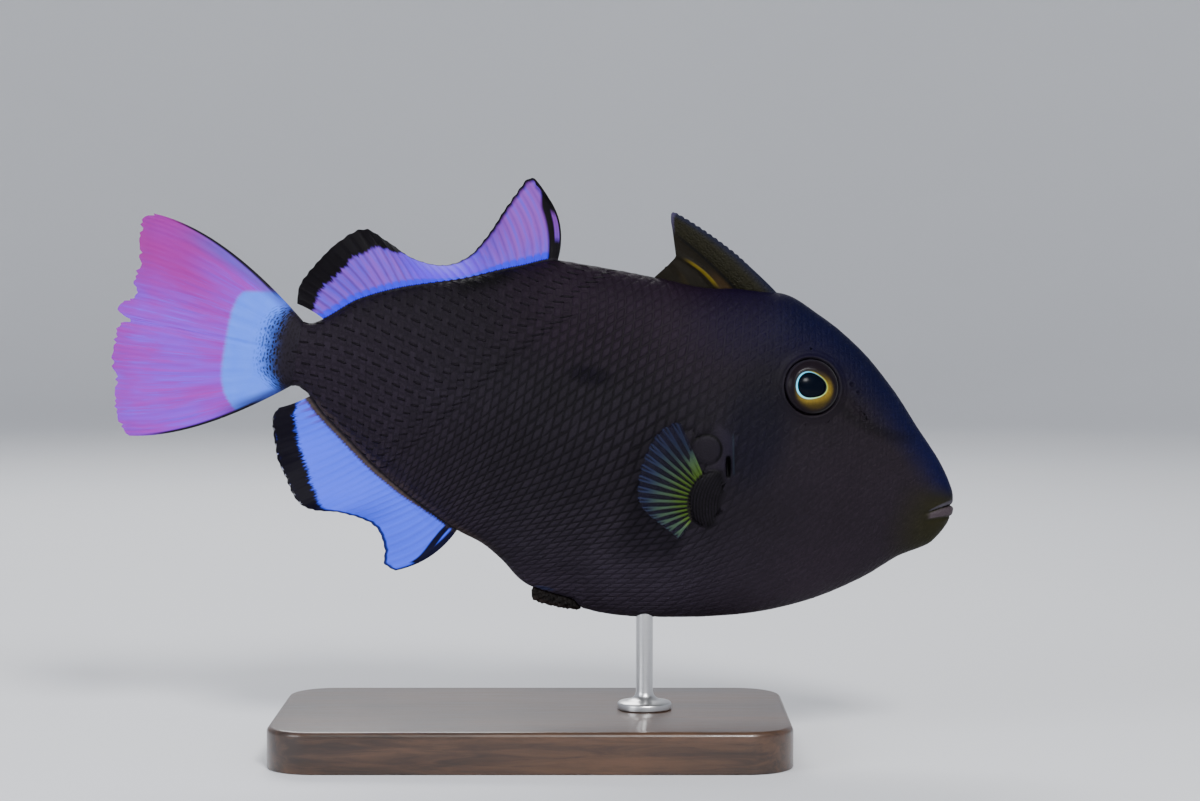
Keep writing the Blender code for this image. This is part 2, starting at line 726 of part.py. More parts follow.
def soft_fin(line_at, up, root_s, edge_points, lean, rays, bow):
    """A fin on the back (up is 1) or the belly (up is -1) that leans to the sides in waves."""
    columns = 2 * rays + 1
    edge = smooth_path(edge_points)
    lean_at = smooth_line(lean)
    start, end = root_s

    def middle(u, v):
        root = off_outline(line_at, start + (end - start) * u, up * ROOT_GAP)
        front = max(1 - u / BOWED_SHARE, 0.0) ** 1.5
        spot = bowed(root, edge(u), up * (bow * front + REST_BOW), v)
        return place(spot.x, lean_at(u) * v ** LEAN_POWER, spot.y)

    return ridged_sheet(columns, SOFT_FIN_ROWS, middle, lambda u, v: ray_half(u, v, columns))


def make_soft_fins(fish):
    dorsal = soft_fin(back_at, 1, DORSAL_ROOT_S, DORSAL_EDGE, DORSAL_LEAN, DORSAL_RAYS, DORSAL_BOW)
    add_node("soft_dorsal_fin", dorsal, fish, RAY_CREASE_DEG)
    anal = soft_fin(belly_at, -1, ANAL_ROOT_S, ANAL_EDGE, ANAL_LEAN, ANAL_RAYS, ANAL_BOW)
    add_node("anal_fin", anal, fish, RAY_CREASE_DEG)


def make_tail_fin(fish):
    columns = 4 * TAIL_RAYS
    edge = smooth_path(TAIL_EDGE)
    top, bottom = TAIL_ROOT_HEIGHTS

    def middle(u, v):
        root = Vector((TAIL_ROOT_S, top + (bottom - top) * u))
        above, below = max(1 - 2 * u, 0.0), max(2 * u - 1, 0.0)
        bow = TAIL_TOP_BOW * above ** 1.5 + TAIL_BOTTOM_BOW * below ** 1.5
        spot = bowed(root, edge(u), bow, v, TAIL_BOW_PEAK)
        return place(spot.x, TAIL_CURL * math.sin(v * math.pi / 2) * v, spot.y)

    def half(u, v):
        column = round(u * columns)
        split = min(max((v - TAIL_SPLIT_START) / TAIL_SPLIT_RUN, 0.0), 1.0)
        ray = RAY_HALF[0] + (RAY_HALF[1] - RAY_HALF[0]) * v
        membrane = MEMBRANE_HALF[0]
        oval = max(1 - abs(2 * u - 1) ** 2.2, 0.0) ** 0.45
        flesh = TAIL_FLESH_HALF * oval * max(1 - v / TAIL_FLESH_SHARE, 0.0) ** 1.5
        if column % 4 == 0:
            return membrane + flesh
        if column % 4 == 2:
            return ray * TAIL_STEM_SWELL * (1 - split) + membrane * split + flesh
        return ray + flesh

    fin = ridged_sheet(columns, TAIL_ROWS, middle, half)
    add_node("tail_fin", fin, fish, RAY_CREASE_DEG)


def make_spiny_dorsal(fish):
    """The stout first spine, two short ones behind it and the membrane that joins them."""
    columns = len(SPINE_LINES) - 1
    rows = 2 * SPINE_KNOBS

    def values_at(u):
        place_in = u * columns
        left = min(int(place_in), columns - 1)
        share = place_in - left
        pairs = zip(SPINE_LINES[left], SPINE_LINES[left + 1])
        return [low + (high - low) * share for low, high in pairs]

    def middle(u, v):
        root_s, tip_s, tip_height, bow, root_half, tip_half = values_at(u)
        root = off_outline(back_at, root_s, ROOT_GAP)
        spot = bowed(root, Vector((tip_s, tip_height)), 2 * bow, v)
        return place(spot.x, 0.0, spot.y)

    def half(u, v):
        root_half, tip_half = values_at(u)[4:]
        depth = root_half + (tip_half - root_half) * v
        column, row = round(u * columns), round(v * rows)
        knob = column < 3 and 0 < row < rows and (row + column) % 2 == 1
        return depth + (SPINE_KNOB_RISE * (1 - 0.5 * v) if knob else 0.0)

    fin = ridged_sheet(columns, rows, middle, half)
    add_node("spiny_dorsal_fin", fin, fish, RAY_CREASE_DEG)


def make_pectorals(fish):
    columns = 2 * PECTORAL_RAYS - 1
    tip_path = smooth_path(PECTORAL_TIPS)
    spread = math.tan(math.radians(PECTORAL_OUT_DEG))
    for side_name, hand in (("right", -1), ("left", 1)):
        def middle(u, v):
            root, tip = pectoral_root(u), tip_path(u)
            spot = root + (tip - root) * v
            side = PECTORAL_ROOT_SIDE + (spot.x - root.x) * spread - PECTORAL_CUP * v * v
            return place(spot.x, hand * side, spot.y)

        fin = ridged_sheet(columns, PECTORAL_ROWS, middle, lambda u, v: ray_half(u, v, columns))
        add_node(f"pectoral_fin_{side_name}", fin, fish, RAY_CREASE_DEG)


def make_pelvic_spine(fish):
    """A rough bony stub that fits under the keel."""
    bottom_at = smooth_line([(s, bottom) for s, bottom, half in PELVIC_LINE])
    half_at = smooth_line([(s, half) for s, bottom, half in PELVIC_LINE])
    start, end = PELVIC_LINE[0][0], PELVIC_LINE[-1][0]

    def point_at(along, around):
        s = start + (end - start) * along
        top, bottom = belly_at(s) - 1.1 * GAP, bottom_at(s)
        angle = math.tau * around
        row = round(along * PELVIC_STATIONS) + round(around * PELVIC_SIDES)
        ends = min(along, 1 - along) > 0.02
        knob = PELVIC_KNOB if row % 2 and math.sin(angle) < 0.3 and ends else 0.0
        side = (half_at(s) + knob) * math.cos(angle)
        rise = math.sin(angle)
        reach = (top - bottom) / 2
        lift = abs(rise) ** 0.8 * math.copysign(1.0, rise)
        return place(s, side, (top + bottom) / 2 + lift * reach - (knob if rise < 0 else 0.0))

    add_node("pelvic_spine", tube(PELVIC_STATIONS, PELVIC_SIDES, point_at), fish)


def make_stand_base():
    """A low base with round corners and a socket for the rod."""
    bm = bmesh.new()
    bmesh.ops.create_cube(bm, size=1.0)
    bm.transform(Matrix.Diagonal((BASE_LENGTH * MM, BASE_DEPTH * MM, BASE_HEIGHT * MM, 1.0)))
    upright = [e for e in bm.edges if abs(e.verts[0].co.z - e.verts[1].co.z) > BASE_HEIGHT / 2 * MM]
    bmesh.ops.bevel(bm, geom=upright, offset=BASE_CORNER * MM, segments=8, profile=0.5,
                    affect="EDGES", material=-1)
    top_rim = [e for e in bm.edges if all(vert.co.z > 0 for vert in e.verts)]
    bmesh.ops.bevel(bm, geom=top_rim, offset=BASE_BEVEL * MM, segments=3, profile=0.5,
                    affect="EDGES", material=-1)
    bm.transform(Matrix.Translation((0.0, 0.0, BASE_HEIGHT / 2 * MM)))
    socket = rod_bore(2 * ROD_IN_BASE, BASE_HEIGHT + ROD_IN_BASE)
    add_node("stand_base", combined("stand_base", bm, [socket], "DIFFERENCE"))


def make_stand_rod():
    """One turned rod with a flange that rests on the base."""
    foot = BASE_HEIGHT - ROD_IN_BASE + GAP
    seat = BASE_HEIGHT + GAP
    top = rod_top()
    soft = ROD_ROUNDING
    outline = (
        (0.0, foot), (ROD_RADIUS, foot), (ROD_RADIUS, seat), (FLANGE_RADIUS, seat),
        (FLANGE_RADIUS, seat + FLANGE_HEIGHT - soft), (FLANGE_RADIUS - soft, seat + FLANGE_HEIGHT),
        (ROD_RADIUS + soft, seat + FLANGE_HEIGHT), (ROD_RADIUS, seat + FLANGE_HEIGHT + soft),
        (ROD_RADIUS, top - soft), (ROD_RADIUS - soft, top), (0.0, top))
    bm = bmesh.new()
    verts = [bm.verts.new(Vector((ROD_X + radius, 0.0, height)) * MM) for radius, height in outline]
    edges = [bm.edges.new(pair) for pair in zip(verts, verts[1:])]
    bmesh.ops.spin(bm, geom=verts + edges, cent=(ROD_X * MM, 0.0, 0.0), axis=(0.0, 0.0, 1.0),
                   angle=math.tau, steps=ROD_SEGMENTS, use_merge=True)
    bmesh.ops.remove_doubles(bm, verts=bm.verts, dist=1e-6)
    bmesh.ops.recalc_face_normals(bm, faces=bm.faces)
    add_node("stand_rod", bm)


def main():
    clear_scene()
    fish = bpy.data.objects.new("fish_pose", None)
    bpy.context.collection.objects.link(fish)
    fish.matrix_world = pose_matrix()
    make_flesh(fish)
    make_eyes(fish)
    make_spiny_dorsal(fish)
    make_soft_fins(fish)
    make_tail_fin(fish)
    make_pectorals(fish)
    make_pelvic_spine(fish)
    make_stand_base()
    make_stand_rod()


main()
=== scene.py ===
"""The finish of a still, life-size pinktail triggerfish on a plain display stand.

Lengths are in millimetres. The fish has a frame of its own: s runs back from the snout, side
runs to its left and height runs up from the level of the snout. Spots are rows of an array
in that frame, as (-s, side, height), and to_world turns them into metres.
"""
import math

import bmesh
import bpy
import numpy as np
from mathutils import Matrix, Vector


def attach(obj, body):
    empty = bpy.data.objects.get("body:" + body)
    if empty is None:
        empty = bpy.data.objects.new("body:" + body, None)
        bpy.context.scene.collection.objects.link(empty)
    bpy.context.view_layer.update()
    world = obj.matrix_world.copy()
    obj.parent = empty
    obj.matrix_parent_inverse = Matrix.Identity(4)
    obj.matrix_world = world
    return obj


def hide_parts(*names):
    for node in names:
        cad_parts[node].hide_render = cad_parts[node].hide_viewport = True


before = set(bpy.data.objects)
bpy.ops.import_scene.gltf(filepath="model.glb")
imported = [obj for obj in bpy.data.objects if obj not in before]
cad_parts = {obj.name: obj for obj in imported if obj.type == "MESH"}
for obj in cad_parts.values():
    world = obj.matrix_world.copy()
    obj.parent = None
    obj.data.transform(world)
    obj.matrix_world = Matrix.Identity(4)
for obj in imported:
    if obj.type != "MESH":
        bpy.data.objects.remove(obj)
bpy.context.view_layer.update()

MM = 0.001
WELD = 2e-6
HANDS = (("right", -1), ("left", 1))

# How the fish is held
NOSE_DOWN_DEG = 10.0
SNOUT = (123.25, 0.0, 73.0)

# The body from the side: (s, height) of the back and of the belly
BACK_LINE = (
    (0.0, 0.9), (0.6, 3.2), (2.0, 6.3), (5.5, 11.3), (12.9, 19.2), (23.9, 30.9), (34.4, 39.8),
    (47.7, 47.5), (60.4, 52.0), (72.0, 51.2), (84.0, 49.6), (96.6, 50.1), (112.0, 50.3),
    (126.0, 50.2), (137.0, 46.3), (153.4, 39.6), (170.3, 34.0), (181.3, 29.0), (190.5, 21.6),
    (195.0, 19.3), (200.0, 19.6))
BELLY_LINE = (
    (0.0, -5.2), (0.6, -7.2), (2.0, -9.9), (4.5, -13.2), (6.8, -14.8), (12.3, -18.1), (22.6, -26.9),
    (38.7, -36.9), (55.4, -43.4), (78.4, -48.3), (94.0, -50.1), (101.5, -49.7), (105.0, -47.6),
    (112.0, -46.8), (117.5, -46.0), (121.0, -44.6), (127.6, -39.6), (134.1, -35.9),
    (141.4, -33.6), (153.4, -27.9), (166.6, -20.5), (180.3, -10.7), (187.1, -5.6),
    (191.4, -1.6), (195.0, 0.2), (200.0, 0.1))
HALF_WIDTH = (
    (0.0, 2.2), (0.6, 3.2), (2.3, 4.4), (5.7, 5.8), (12.9, 7.7), (23.9, 10.3), (34.4, 12.5),
    (47.7, 15.0), (60.0, 17.1), (75.0, 18.6), (90.0, 18.8), (105.0, 17.8), (120.0, 15.8),
    (135.0, 13.3), (150.0, 10.7), (165.0, 8.2), (180.0, 6.0), (192.0, 4.7), (200.0, 4.1))
WIDEST_HEIGHT = (
    (0.0, -2.2), (5.7, -2.0), (12.9, -1.0), (34.0, 4.0), (48.0, 6.0), (62.0, 5.0), (80.0, 2.0),
    (110.0, 2.0), (141.0, 4.5), (165.0, 6.5), (192.0, 9.9), (200.0, 9.9))
UPPER_POWER = ((0.0, 2.3), (12.9, 2.1), (60.0, 2.05), (126.0, 1.9), (170.0, 1.85), (200.0, 2.2))
LOWER_POWER = ((0.0, 2.3), (12.9, 2.0), (60.0, 1.7), (120.0, 1.65), (150.0, 1.8), (200.0, 2.2))
BODY_END = 200.0
SNOUT_HEIGHT = -2.2
SNOUT_DOME = 0.5

# The skin's net: columns along the body and rows round it
CAP_COLUMNS = 14
FRONT_LENGTH = 32.0
FRONT_COLUMNS = 60
REST_COLUMNS = 150
END_COLUMNS = 5
SKIN_ROWS = 168
PLAIN_STEPS = (0.05, 0.001)
SKIN_STEPS = (0.12, 0.0012)
COAT_DEPTH = 0.24
FLANK_SIDE = 2.5

# Where the net is finer: round the eye, the nostrils (s, height, radius) and the gill
FINE_EYE_RADIUS = 12.8
FINE_NOSE = (33.8, 26.0, 6.5)
FINE_GILL = (74.0, -4.5)
FINE_GILL_HALF = (9.5, 16.5)
FINE_SIDE = 4.0

# Eye
EYE_S = 47.6
EYE_HEIGHT = 26.8
EYE_RADIUS = 8.0
EYE_HALF_DEPTH = 3.7
EYE_SINK = 0.6
EYE_REACH = 6.0
ORBIT_RISE = 0.85
ORBIT_RINGS = (7.6, 12.0)
SOCKET_DEPTH = 2.6
SOCKET_RINGS = (8.45, 7.90)

# Lid fold and two faint rings round the eye: radius, rise and half width
ORBIT_FOLDS = ((8.85, 0.28, 0.35), (9.75, -0.18, 0.38), (11.0, -0.13, 0.42))

# Mouth: the line runs from the front notch (s, height) back to each corner (s, side, height)
MOUTH_CORNER = (7.4, 6.2, -3.9)
MOUTH_FRONT = (-0.1, -0.4)
MOUTH_DROP = 1.6
MOUTH_FADE_DEG = (112.0, 82.0)
MOUTH_FADE_S = (18.0, 11.0)

# Lips: center off the line, rise, half height and the share of these left at the corners
UPPER_LIP = (0.95, 0.10, 0.9, 0.35)
LOWER_LIP = (-1.85, 0.38, 1.6, 0.62)
MUZZLE_SWELL = (3.6, 0.32, 2.3)
MOUTH_SLIT = (0.22, 1.5)
CHIN_CREASE = (3.6, 0.5, 0.25)

# Nostrils (s, height, radius), and the groove ahead of the eye
NOSTRILS = ((35.9, 29.4, 0.75), (33.6, 27.4, 0.6))
NOSTRIL_RIM = (0.25, 0.35, 0.24)
NOSTRIL_DEPTH = 0.7
GROOVE = (32.6, 22.6)
GROOVE_SIZES = (4.2, 0.8, 0.4)
GROOVE_SLOPE_DEG = 38.0

# Gill slit (half width, half length, depth), the flap ahead of it (across, along, half
# length), the plates behind it (s, height, radius) and the lobe that carries the pectoral fin
GILL = (67.5, 0.1)
GILL_SIZES = (0.75, 3.2, 2.2)
GILL_LEAN_DEG = 11.0
GILL_FLAP = (-1.5, 3.7, 6.4)
GILL_FLAP_RISE = 0.40
GILL_FLAP_HALF = 0.7
GILL_PLATES = ((74.6, 3.9, 4.1), (80.2, 5.8, 2.6), (80.0, 0.4, 2.5), (76.8, 10.0, 2.3))
GILL_PLATE_RISE = 0.32
SMALL_PLATE_SHARE = 0.55
GILL_GROOVE = (1.12, 0.07, 0.22)
LOBE_CENTER = (73.2, -10.0)
LOBE_HALF = (5.1, 8.2)
LOBE_BEND = 2.4
LOBE_REACH = 3.3
PECTORAL_OUT_DEG = 47.0

# Places of the photo's frame, 1200 by 801 pixels, and the lens that gives its view
LENS = 85.0
SENSOR = 36.0
PIXEL = 250.0 / 853
VIEW_CENTER_X = 19.9
VIEW_CENTER_Z = 103.0
CAMERA_RISE_DEG = 3.0
IMAGE_WIDTH = 1200


def ease(low, high, value):
    """0 at low, 1 at high and smooth between; low may be the larger."""
    share = np.clip((value - low) / (high - low), 0.0, 1.0)
    return share * share * (3 - 2 * share)


def smooth_line(points):
    """A curve of one value along s that runs through the points and never swings past them."""
    places = np.sqrt([place for place, value in points])
    values = np.array([value for place, value in points])
    rises = np.diff(values) / np.diff(places)
    slopes = [rises[0]]
    for before, after in zip(rises, rises[1:]):
        slopes.append(2 * before * after / (before + after) if before * after > 0 else 0.0)
    slopes = np.array(slopes + [rises[-1]])

    def value_at(s):
        place = np.sqrt(np.maximum(s, 0.0))
        left = np.clip(np.searchsorted(places, place, side="right") - 1, 0, len(rises) - 1)
        width = places[left + 1] - places[left]
        t = np.clip((place - places[left]) / width, 0.0, 1.0)
        start = (1 + 2 * t) * (1 - t) ** 2 * values[left]
        end = t * t * (3 - 2 * t) * values[left + 1]
        bends = t * (1 - t) * ((1 - t) * slopes[left] - t * slopes[left + 1]) * width
        return start + end + bends

    return value_at


def smooth_path(points):
    """A curve through points in the side view, read by its share of the whole length."""
    spots = np.array(points, float)
    steps = np.linalg.norm(np.diff(spots, axis=0), axis=1)
    runs = np.concatenate(([0.0], np.cumsum(steps)))
    numbers = np.arange(len(spots))
    low = np.maximum(numbers - 1, 0)
    high = np.minimum(numbers + 1, len(spots) - 1)
    tangents = (spots[high] - spots[low]) / (runs[high] - runs[low])[:, None]

    def spot_at(share):
        run = np.clip(share, 0.0, 1.0) * runs[-1]
        left = np.clip(np.searchsorted(runs, run, side="right") - 1, 0, len(spots) - 2)
        width = (runs[left + 1] - runs[left])[:, None]
        t = (run - runs[left])[:, None] / width
        start = spots[left] * ((1 + 2 * t) * (1 - t) ** 2)
        end = spots[left + 1] * (t * t * (3 - 2 * t))
        bends = (tangents[left] * (1 - t) - tangents[left + 1] * t) * (t * (1 - t) * width)
        return start + end + bends

    return spot_at


back_at = smooth_line(BACK_LINE)
belly_at = smooth_line(BELLY_LINE)
half_width_at = smooth_line(HALF_WIDTH)
widest_height_at = smooth_line(WIDEST_HEIGHT)
upper_power_at = smooth_line(UPPER_POWER)
lower_power_at = smooth_line(LOWER_POWER)

POSE = Matrix.Translation(Vector(SNOUT)) @ Matrix.Rotation(math.radians(NOSE_DOWN_DEG), 4, "Y")


def to_world(spots):
    pose = np.array(POSE)
    return (spots @ pose[:3, :3].T + pose[:3, 3]) * MM


def unit(rows):
    return rows / np.maximum(np.linalg.norm(rows, axis=1), 1e-9)[:, None]


def flat_grid(columns, rows):
    """A bmesh grid whose vertices run from 0 to 1 along x and y."""
    bm = bmesh.new()
    bmesh.ops.create_grid(bm, x_segments=columns, y_segments=rows, size=0.5)
    low = min(vert.co.x for vert in bm.verts)
    high = max(vert.co.x for vert in bm.verts)
    scale = 1 / (high - low)
    bm.transform(Matrix.Diagonal((scale, scale, 1.0, 1.0)) @ Matrix.Translation((-low, -low, 0)))
    return bm


def vertex_spots(bm):
    return np.array([vert.co[:] for vert in bm.verts])


def flat_places(bm):
    spots = vertex_spots(bm)
    return spots[:, 0], spots[:, 1]


def lay(bm, spots, weld=False):
    """Move the vertices of a bmesh to spots of the fish's frame and turn its faces outward."""
    for vert, spot in zip(bm.verts, to_world(spots)):
        vert.co = spot
    if weld:
        bmesh.ops.remove_doubles(bm, verts=bm.verts, dist=WELD)
    bmesh.ops.recalc_face_normals(bm, faces=bm.faces)


def new_object(name, bm, material, crease_deg=180.0):
    mesh = bpy.data.meshes.new(name)
    bm.to_mesh(mesh)
    bm.free()
    mesh.shade_smooth()
    if crease_deg < 180.0:
        mesh.set_sharp_from_angle(angle=math.radians(crease_deg))
    made = bpy.data.objects.new(name, mesh)
    bpy.context.collection.objects.link(made)
    mesh.materials.append(material)
    return made


def add_piece(name, bm, material, crease_deg=180.0):
    """An object of the finished model, which rides on the still body."""
    piece = new_object(name, bm, material, crease_deg)
    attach(piece, "root")
    return piece


def mark(piece, name, values):
    """A number for each vertex, which the piece's material reads."""
    layer = piece.data.attributes.new(name, "FLOAT", "POINT")
    layer.data.foreach_set("value", np.asarray(values, dtype=np.float32))


# Shader arithmetic

class Wire:
    """The value that leaves a shader node, with arithmetic that adds Math nodes."""

    def __init__(self, paint, socket):
        self.paint = paint
        self.socket = socket

    def __add__(self, other):
        return self.paint.math("ADD", self, other)

    def __radd__(self, other):
        return self.paint.math("ADD", other, self)

    def __sub__(self, other):
        return self.paint.math("SUBTRACT", self, other)

    def __rsub__(self, other):
        return self.paint.math("SUBTRACT", other, self)

    def __mul__(self, other):
        return self.paint.math("MULTIPLY", self, other)

    def __rmul__(self, other):
        return self.paint.math("MULTIPLY", other, self)

    def __truediv__(self, other):
        return self.paint.math("DIVIDE", self, other)

    def __rtruediv__(self, other):
        return self.paint.math("DIVIDE", other, self)

    def __pow__(self, other):
        return self.paint.math("POWER", self, other)


class Paint:
    """A material as it is mixed: one method makes any node, the rest are short forms of it."""

    def __init__(self, name, roughness=0.5, **fixed):
        self.material = bpy.data.materials.new(name)
        self.material.use_nodes = True
        self.tree = self.material.node_tree
        self.shader = self.tree.nodes["Principled BSDF"]
        self.shader.inputs["Roughness"].default_value = roughness
        for socket, value in fixed.items():
            self.shader.inputs[socket.replace("_", " ")].default_value = value

    def node(self, kind, settings=None, values=None, output=0):
        made = self.tree.nodes.new(kind)
        for name, value in (settings or {}).items():
            setattr(made, name, value)
        for key, value in (values or {}).items():
            self.feed(made.inputs[key], value)
        return Wire(self, made.outputs[output])

    def feed(self, socket, value):
        if isinstance(value, Wire):
            self.tree.links.new(value.socket, socket)
        elif isinstance(value, tuple) and len(value) == 3 and socket.type == "RGBA":
            socket.default_value = (*value, 1.0)
        else:
            socket.default_value = value

    def math(self, operation, left, right=0.0):
        return self.node("ShaderNodeMath", {"operation": operation}, {0: left, 1: right})

    def least(self, left, right):
        return self.math("MINIMUM", left, right)

    def most(self, left, right):
        return self.math("MAXIMUM", left, right)

    def size(self, value):
        return self.math("ABSOLUTE", value)

    def part(self, value):
        return self.math("FRACT", value)

    def off_middle(self, value):
        """0 midway between whole numbers and 0.5 on them."""
        return self.size(self.part(value) - 0.5)

    def ease(self, low, high, value):
        """0 at low, 1 at high and smooth between; low may be the larger."""
        if low > high:
            return 1 - self.ease(high, low, value)
        settings = {"interpolation_type": "SMOOTHSTEP"}
        return self.node("ShaderNodeMapRange", settings, {0: value, 1: low, 2: high})

    def span(self, start, full, full_end, end, value):
        """1 between the two middle numbers, 0 past the outer ones and smooth between."""
        return self.ease(start, full, value) * self.ease(end, full_end, value)

    def mark(self, name):
        return self.node("ShaderNodeAttribute", {"attribute_name": name}, output=2)

    def spot(self):
        """The place in metres."""
        return self.node("ShaderNodeTexCoord", output=3)

    def place(self):
        """The place on the fish in millimetres, as one vector of -s, side and height."""
        inverse = POSE.inverted()
        values = {"Vector": self.spot(), "Location": tuple(inverse.translation),
                  "Rotation": tuple(inverse.to_euler()), "Scale": (1 / MM, 1 / MM, 1 / MM)}
        return self.node("ShaderNodeMapping", {"vector_type": "POINT"}, values)

    def parts(self, vector):
        first = self.node("ShaderNodeSeparateXYZ", None, {0: vector})
        return [Wire(self, socket) for socket in first.socket.node.outputs]

    def vector(self, x, y, z):
        return self.node("ShaderNodeCombineXYZ", None, {0: x, 1: y, 2: z})

    def distance(self, vector, spot):
        settings = {"operation": "DISTANCE"}
        return self.node("ShaderNodeVectorMath", settings, {0: vector, 1: spot}, output=1)

    def away(self, s, height, spot, share=1.0):
        """How far a place of the side view is from a spot, with only a share of the run in s."""
        here = self.vector(s * share, 0.0, height)
        return self.distance(here, (spot[0] * share, 0.0, spot[1]))

    def stretched(self, vector, scale):
        settings = {"operation": "MULTIPLY"}
        return self.node("ShaderNodeVectorMath", settings, {0: vector, 1: scale})

    def noise(self, vector, scale, detail=3.0, roughness=0.55, lie=0.0):
        values = {"Vector": vector, "Scale": scale, "Detail": detail, "Roughness": roughness,
                  "Distortion": lie}
        return self.node("ShaderNodeTexNoise", None, values)

    def cells(self, vector, scale):
        return self.node("ShaderNodeTexVoronoi", None, {"Vector": vector, "Scale": scale})

    def mix(self, factor, low, high):
        """A blend of two colours."""
        settings = {"data_type": "RGBA"}
        return self.node("ShaderNodeMix", settings, {0: factor, 6: low, 7: high}, output=2)

    def tint(self, color, amount):
        """A colour made lighter or darker by a number."""
        settings = {"operation": "SCALE"}
        return self.node("ShaderNodeVectorMath", settings, {0: color, 3: amount})

    def relief(self, height, depth_mm):
        values = {"Strength": 1.0, "Distance": depth_mm * MM, "Height": height}
        self.feed(self.shader.inputs["Normal"], self.node("ShaderNodeBump", None, values))

    def finish(self, **sockets):
        for name, value in sockets.items():
            self.feed(self.shader.inputs[name.replace("_", " ")], value)
        return self.material


# Skin

def plain_skin(s, around):
    """Spots of the plain body. around runs from the keel up the left side and down the right.

    s below 0 or past the end runs over the rounded caps, one unit each.
    """
    cap = np.clip(-s, 0.0, 1.0) + np.clip(s - BODY_END, 0.0, 1.0)
    along = np.clip(s, 0.0, BODY_END)
    angle = math.tau * around - math.pi / 2
    across, rise = np.cos(angle), np.sin(angle)
    middle = widest_height_at(along)
    low = rise < 0
    power = np.where(low, lower_power_at(along), upper_power_at(along))
    reach = np.where(low, middle - belly_at(along), back_at(along) - middle)
    side = np.sign(across) * np.abs(across) ** (2 / power) * half_width_at(along)
    height = middle + np.sign(rise) * np.abs(rise) ** (2 / power) * reach
    shrink = np.cos(cap * math.pi / 2)
    center = np.where(s < 0, SNOUT_HEIGHT, middle)
    height = np.where(cap > 0, center + (height - center) * shrink, height)
    dome = SNOUT_DOME * np.sin(cap * math.pi / 2) * np.where(s < 0, -1.0, 1.0)
    return np.stack((-(along + dome), side * shrink, height), axis=1)


def normal_of(surface, steps, s, around):
    """The direction out of a surface, from its slope over a step in s and one round the body."""
    step, turn = steps
    back = surface(s + step, around) - surface(s - step, around)
    round_body = surface(s, around + turn) - surface(s, around - turn)
    return unit(np.cross(back, round_body))


def skin_side(s, height):
    """Half the width of the body at s and a height."""
    middle = widest_height_at(s)
    low = height < middle
    power = np.where(low, lower_power_at(s), upper_power_at(s))
    reach = np.where(low, middle - belly_at(s), back_at(s) - middle)
    share = np.minimum(np.abs(height - middle) / reach, 1.0)
    return half_width_at(s) * (1 - share ** power) ** (1 / power)


def flank_spot(s, height):
    """A spot on the left flank of the plain body, and the direction out of it."""
    step = 1.0
    spot = np.array((-s, float(skin_side(s, height)), height))
    slope_back = (skin_side(s + step, height) - skin_side(s - step, height)) / (2 * step)
    slope_up = (skin_side(s, height + step) - skin_side(s, height - step)) / (2 * step)
    out = np.array((float(slope_back), 1.0, -float(slope_up)))
    return spot, out / np.linalg.norm(out)


EYE_SPOT, EYE_OUT = flank_spot(EYE_S, EYE_HEIGHT)


def mirrored(spots):
    """The same spots, all brought to the left side."""
    return np.stack((spots[:, 0], np.abs(spots[:, 1]), spots[:, 2]), axis=1)


def eye_distance(left):
    """How far each left-side spot is from the eye's axis; spots deep behind it count as far."""
    offset = left - EYE_SPOT
    deep = offset @ EYE_OUT
    off_axis = np.linalg.norm(offset - deep[:, None] * EYE_OUT, axis=1)
    return off_axis + np.maximum(-EYE_REACH - deep, 0.0) * 9


def hump(value, half):
    """1 at 0, falling away smoothly over about a half width to either side."""
    return np.exp(-(value / half) ** 2)


def eye_rise(left):
    """The mound round the eye, its lid fold, two faint rings and the socket."""
    radius = eye_distance(left)
    rise = ORBIT_RISE * (1 - ease(*ORBIT_RINGS, radius))
    for place, height, half in ORBIT_FOLDS:
        rise += height * hump(radius - place, half)
    return rise - SOCKET_DEPTH * ease(*SOCKET_RINGS, radius)


def mouth_rise(left):
    """Both lips, the slit between them and the creases below them."""
    s, side, height = -left[:, 0], left[:, 1], left[:, 2]
    corner_s, corner_side, corner_height = MOUTH_CORNER
    front_s, front_height = MOUTH_FRONT
    angle = np.arctan2(side / corner_side, (corner_s - s) / (corner_s - front_s))
    bend = np.cos(np.minimum(angle, math.pi / 2))
    past = np.maximum(angle - math.pi / 2, 0.0)
    line = corner_height + (front_height - corner_height) * bend - MOUTH_DROP * past
    off = height - line
    fade = ease(*np.radians(MOUTH_FADE_DEG), angle) * ease(*MOUTH_FADE_S, s)
    rise = np.zeros(len(left))
    for center, out, half_height, thin in (UPPER_LIP, LOWER_LIP):
        full = thin + (1 - thin) * np.sqrt(bend)
        share = np.clip(np.abs(off - center * full) / (half_height * full), 0.0, 1.0)
        rise += out * full * np.sqrt(1 - share ** 2) * fade
    half, deep = MOUTH_SLIT
    rise -= deep * hump(off, half * (1 + 1.5 * bend ** 6)) * fade * (0.6 + 0.4 * bend)
    center, out, half_height = MUZZLE_SWELL
    rise += out * bend * hump(off - center, half_height) * fade
    below, half, deep = CHIN_CREASE
    chin = LOWER_LIP[3] + (1 - LOWER_LIP[3]) * np.sqrt(bend)
    return rise - deep * hump(off + below * chin, half) * fade


def nostril_rise(left):
    rise = np.zeros(len(left))
    rim_out, rim_half, rim_rise = NOSTRIL_RIM
    for s, height, radius in NOSTRILS:
        away = np.linalg.norm(left - flank_spot(s, height)[0], axis=1)
        rise += rim_rise * hump(away - radius - rim_out, rim_half)
        rise -= NOSTRIL_DEPTH * ease(radius, radius * 0.5, away)
    return rise


def turned(left, center, angle_deg):
    """Two distances from a center in the side view: along a line at an angle and across it."""
    back = -left[:, 0] - center[0]
    up = left[:, 2] - center[1]
    angle = math.radians(angle_deg)
    along = back * math.cos(angle) + up * math.sin(angle)
    across = back * math.sin(angle) - up * math.cos(angle)
    return along, across


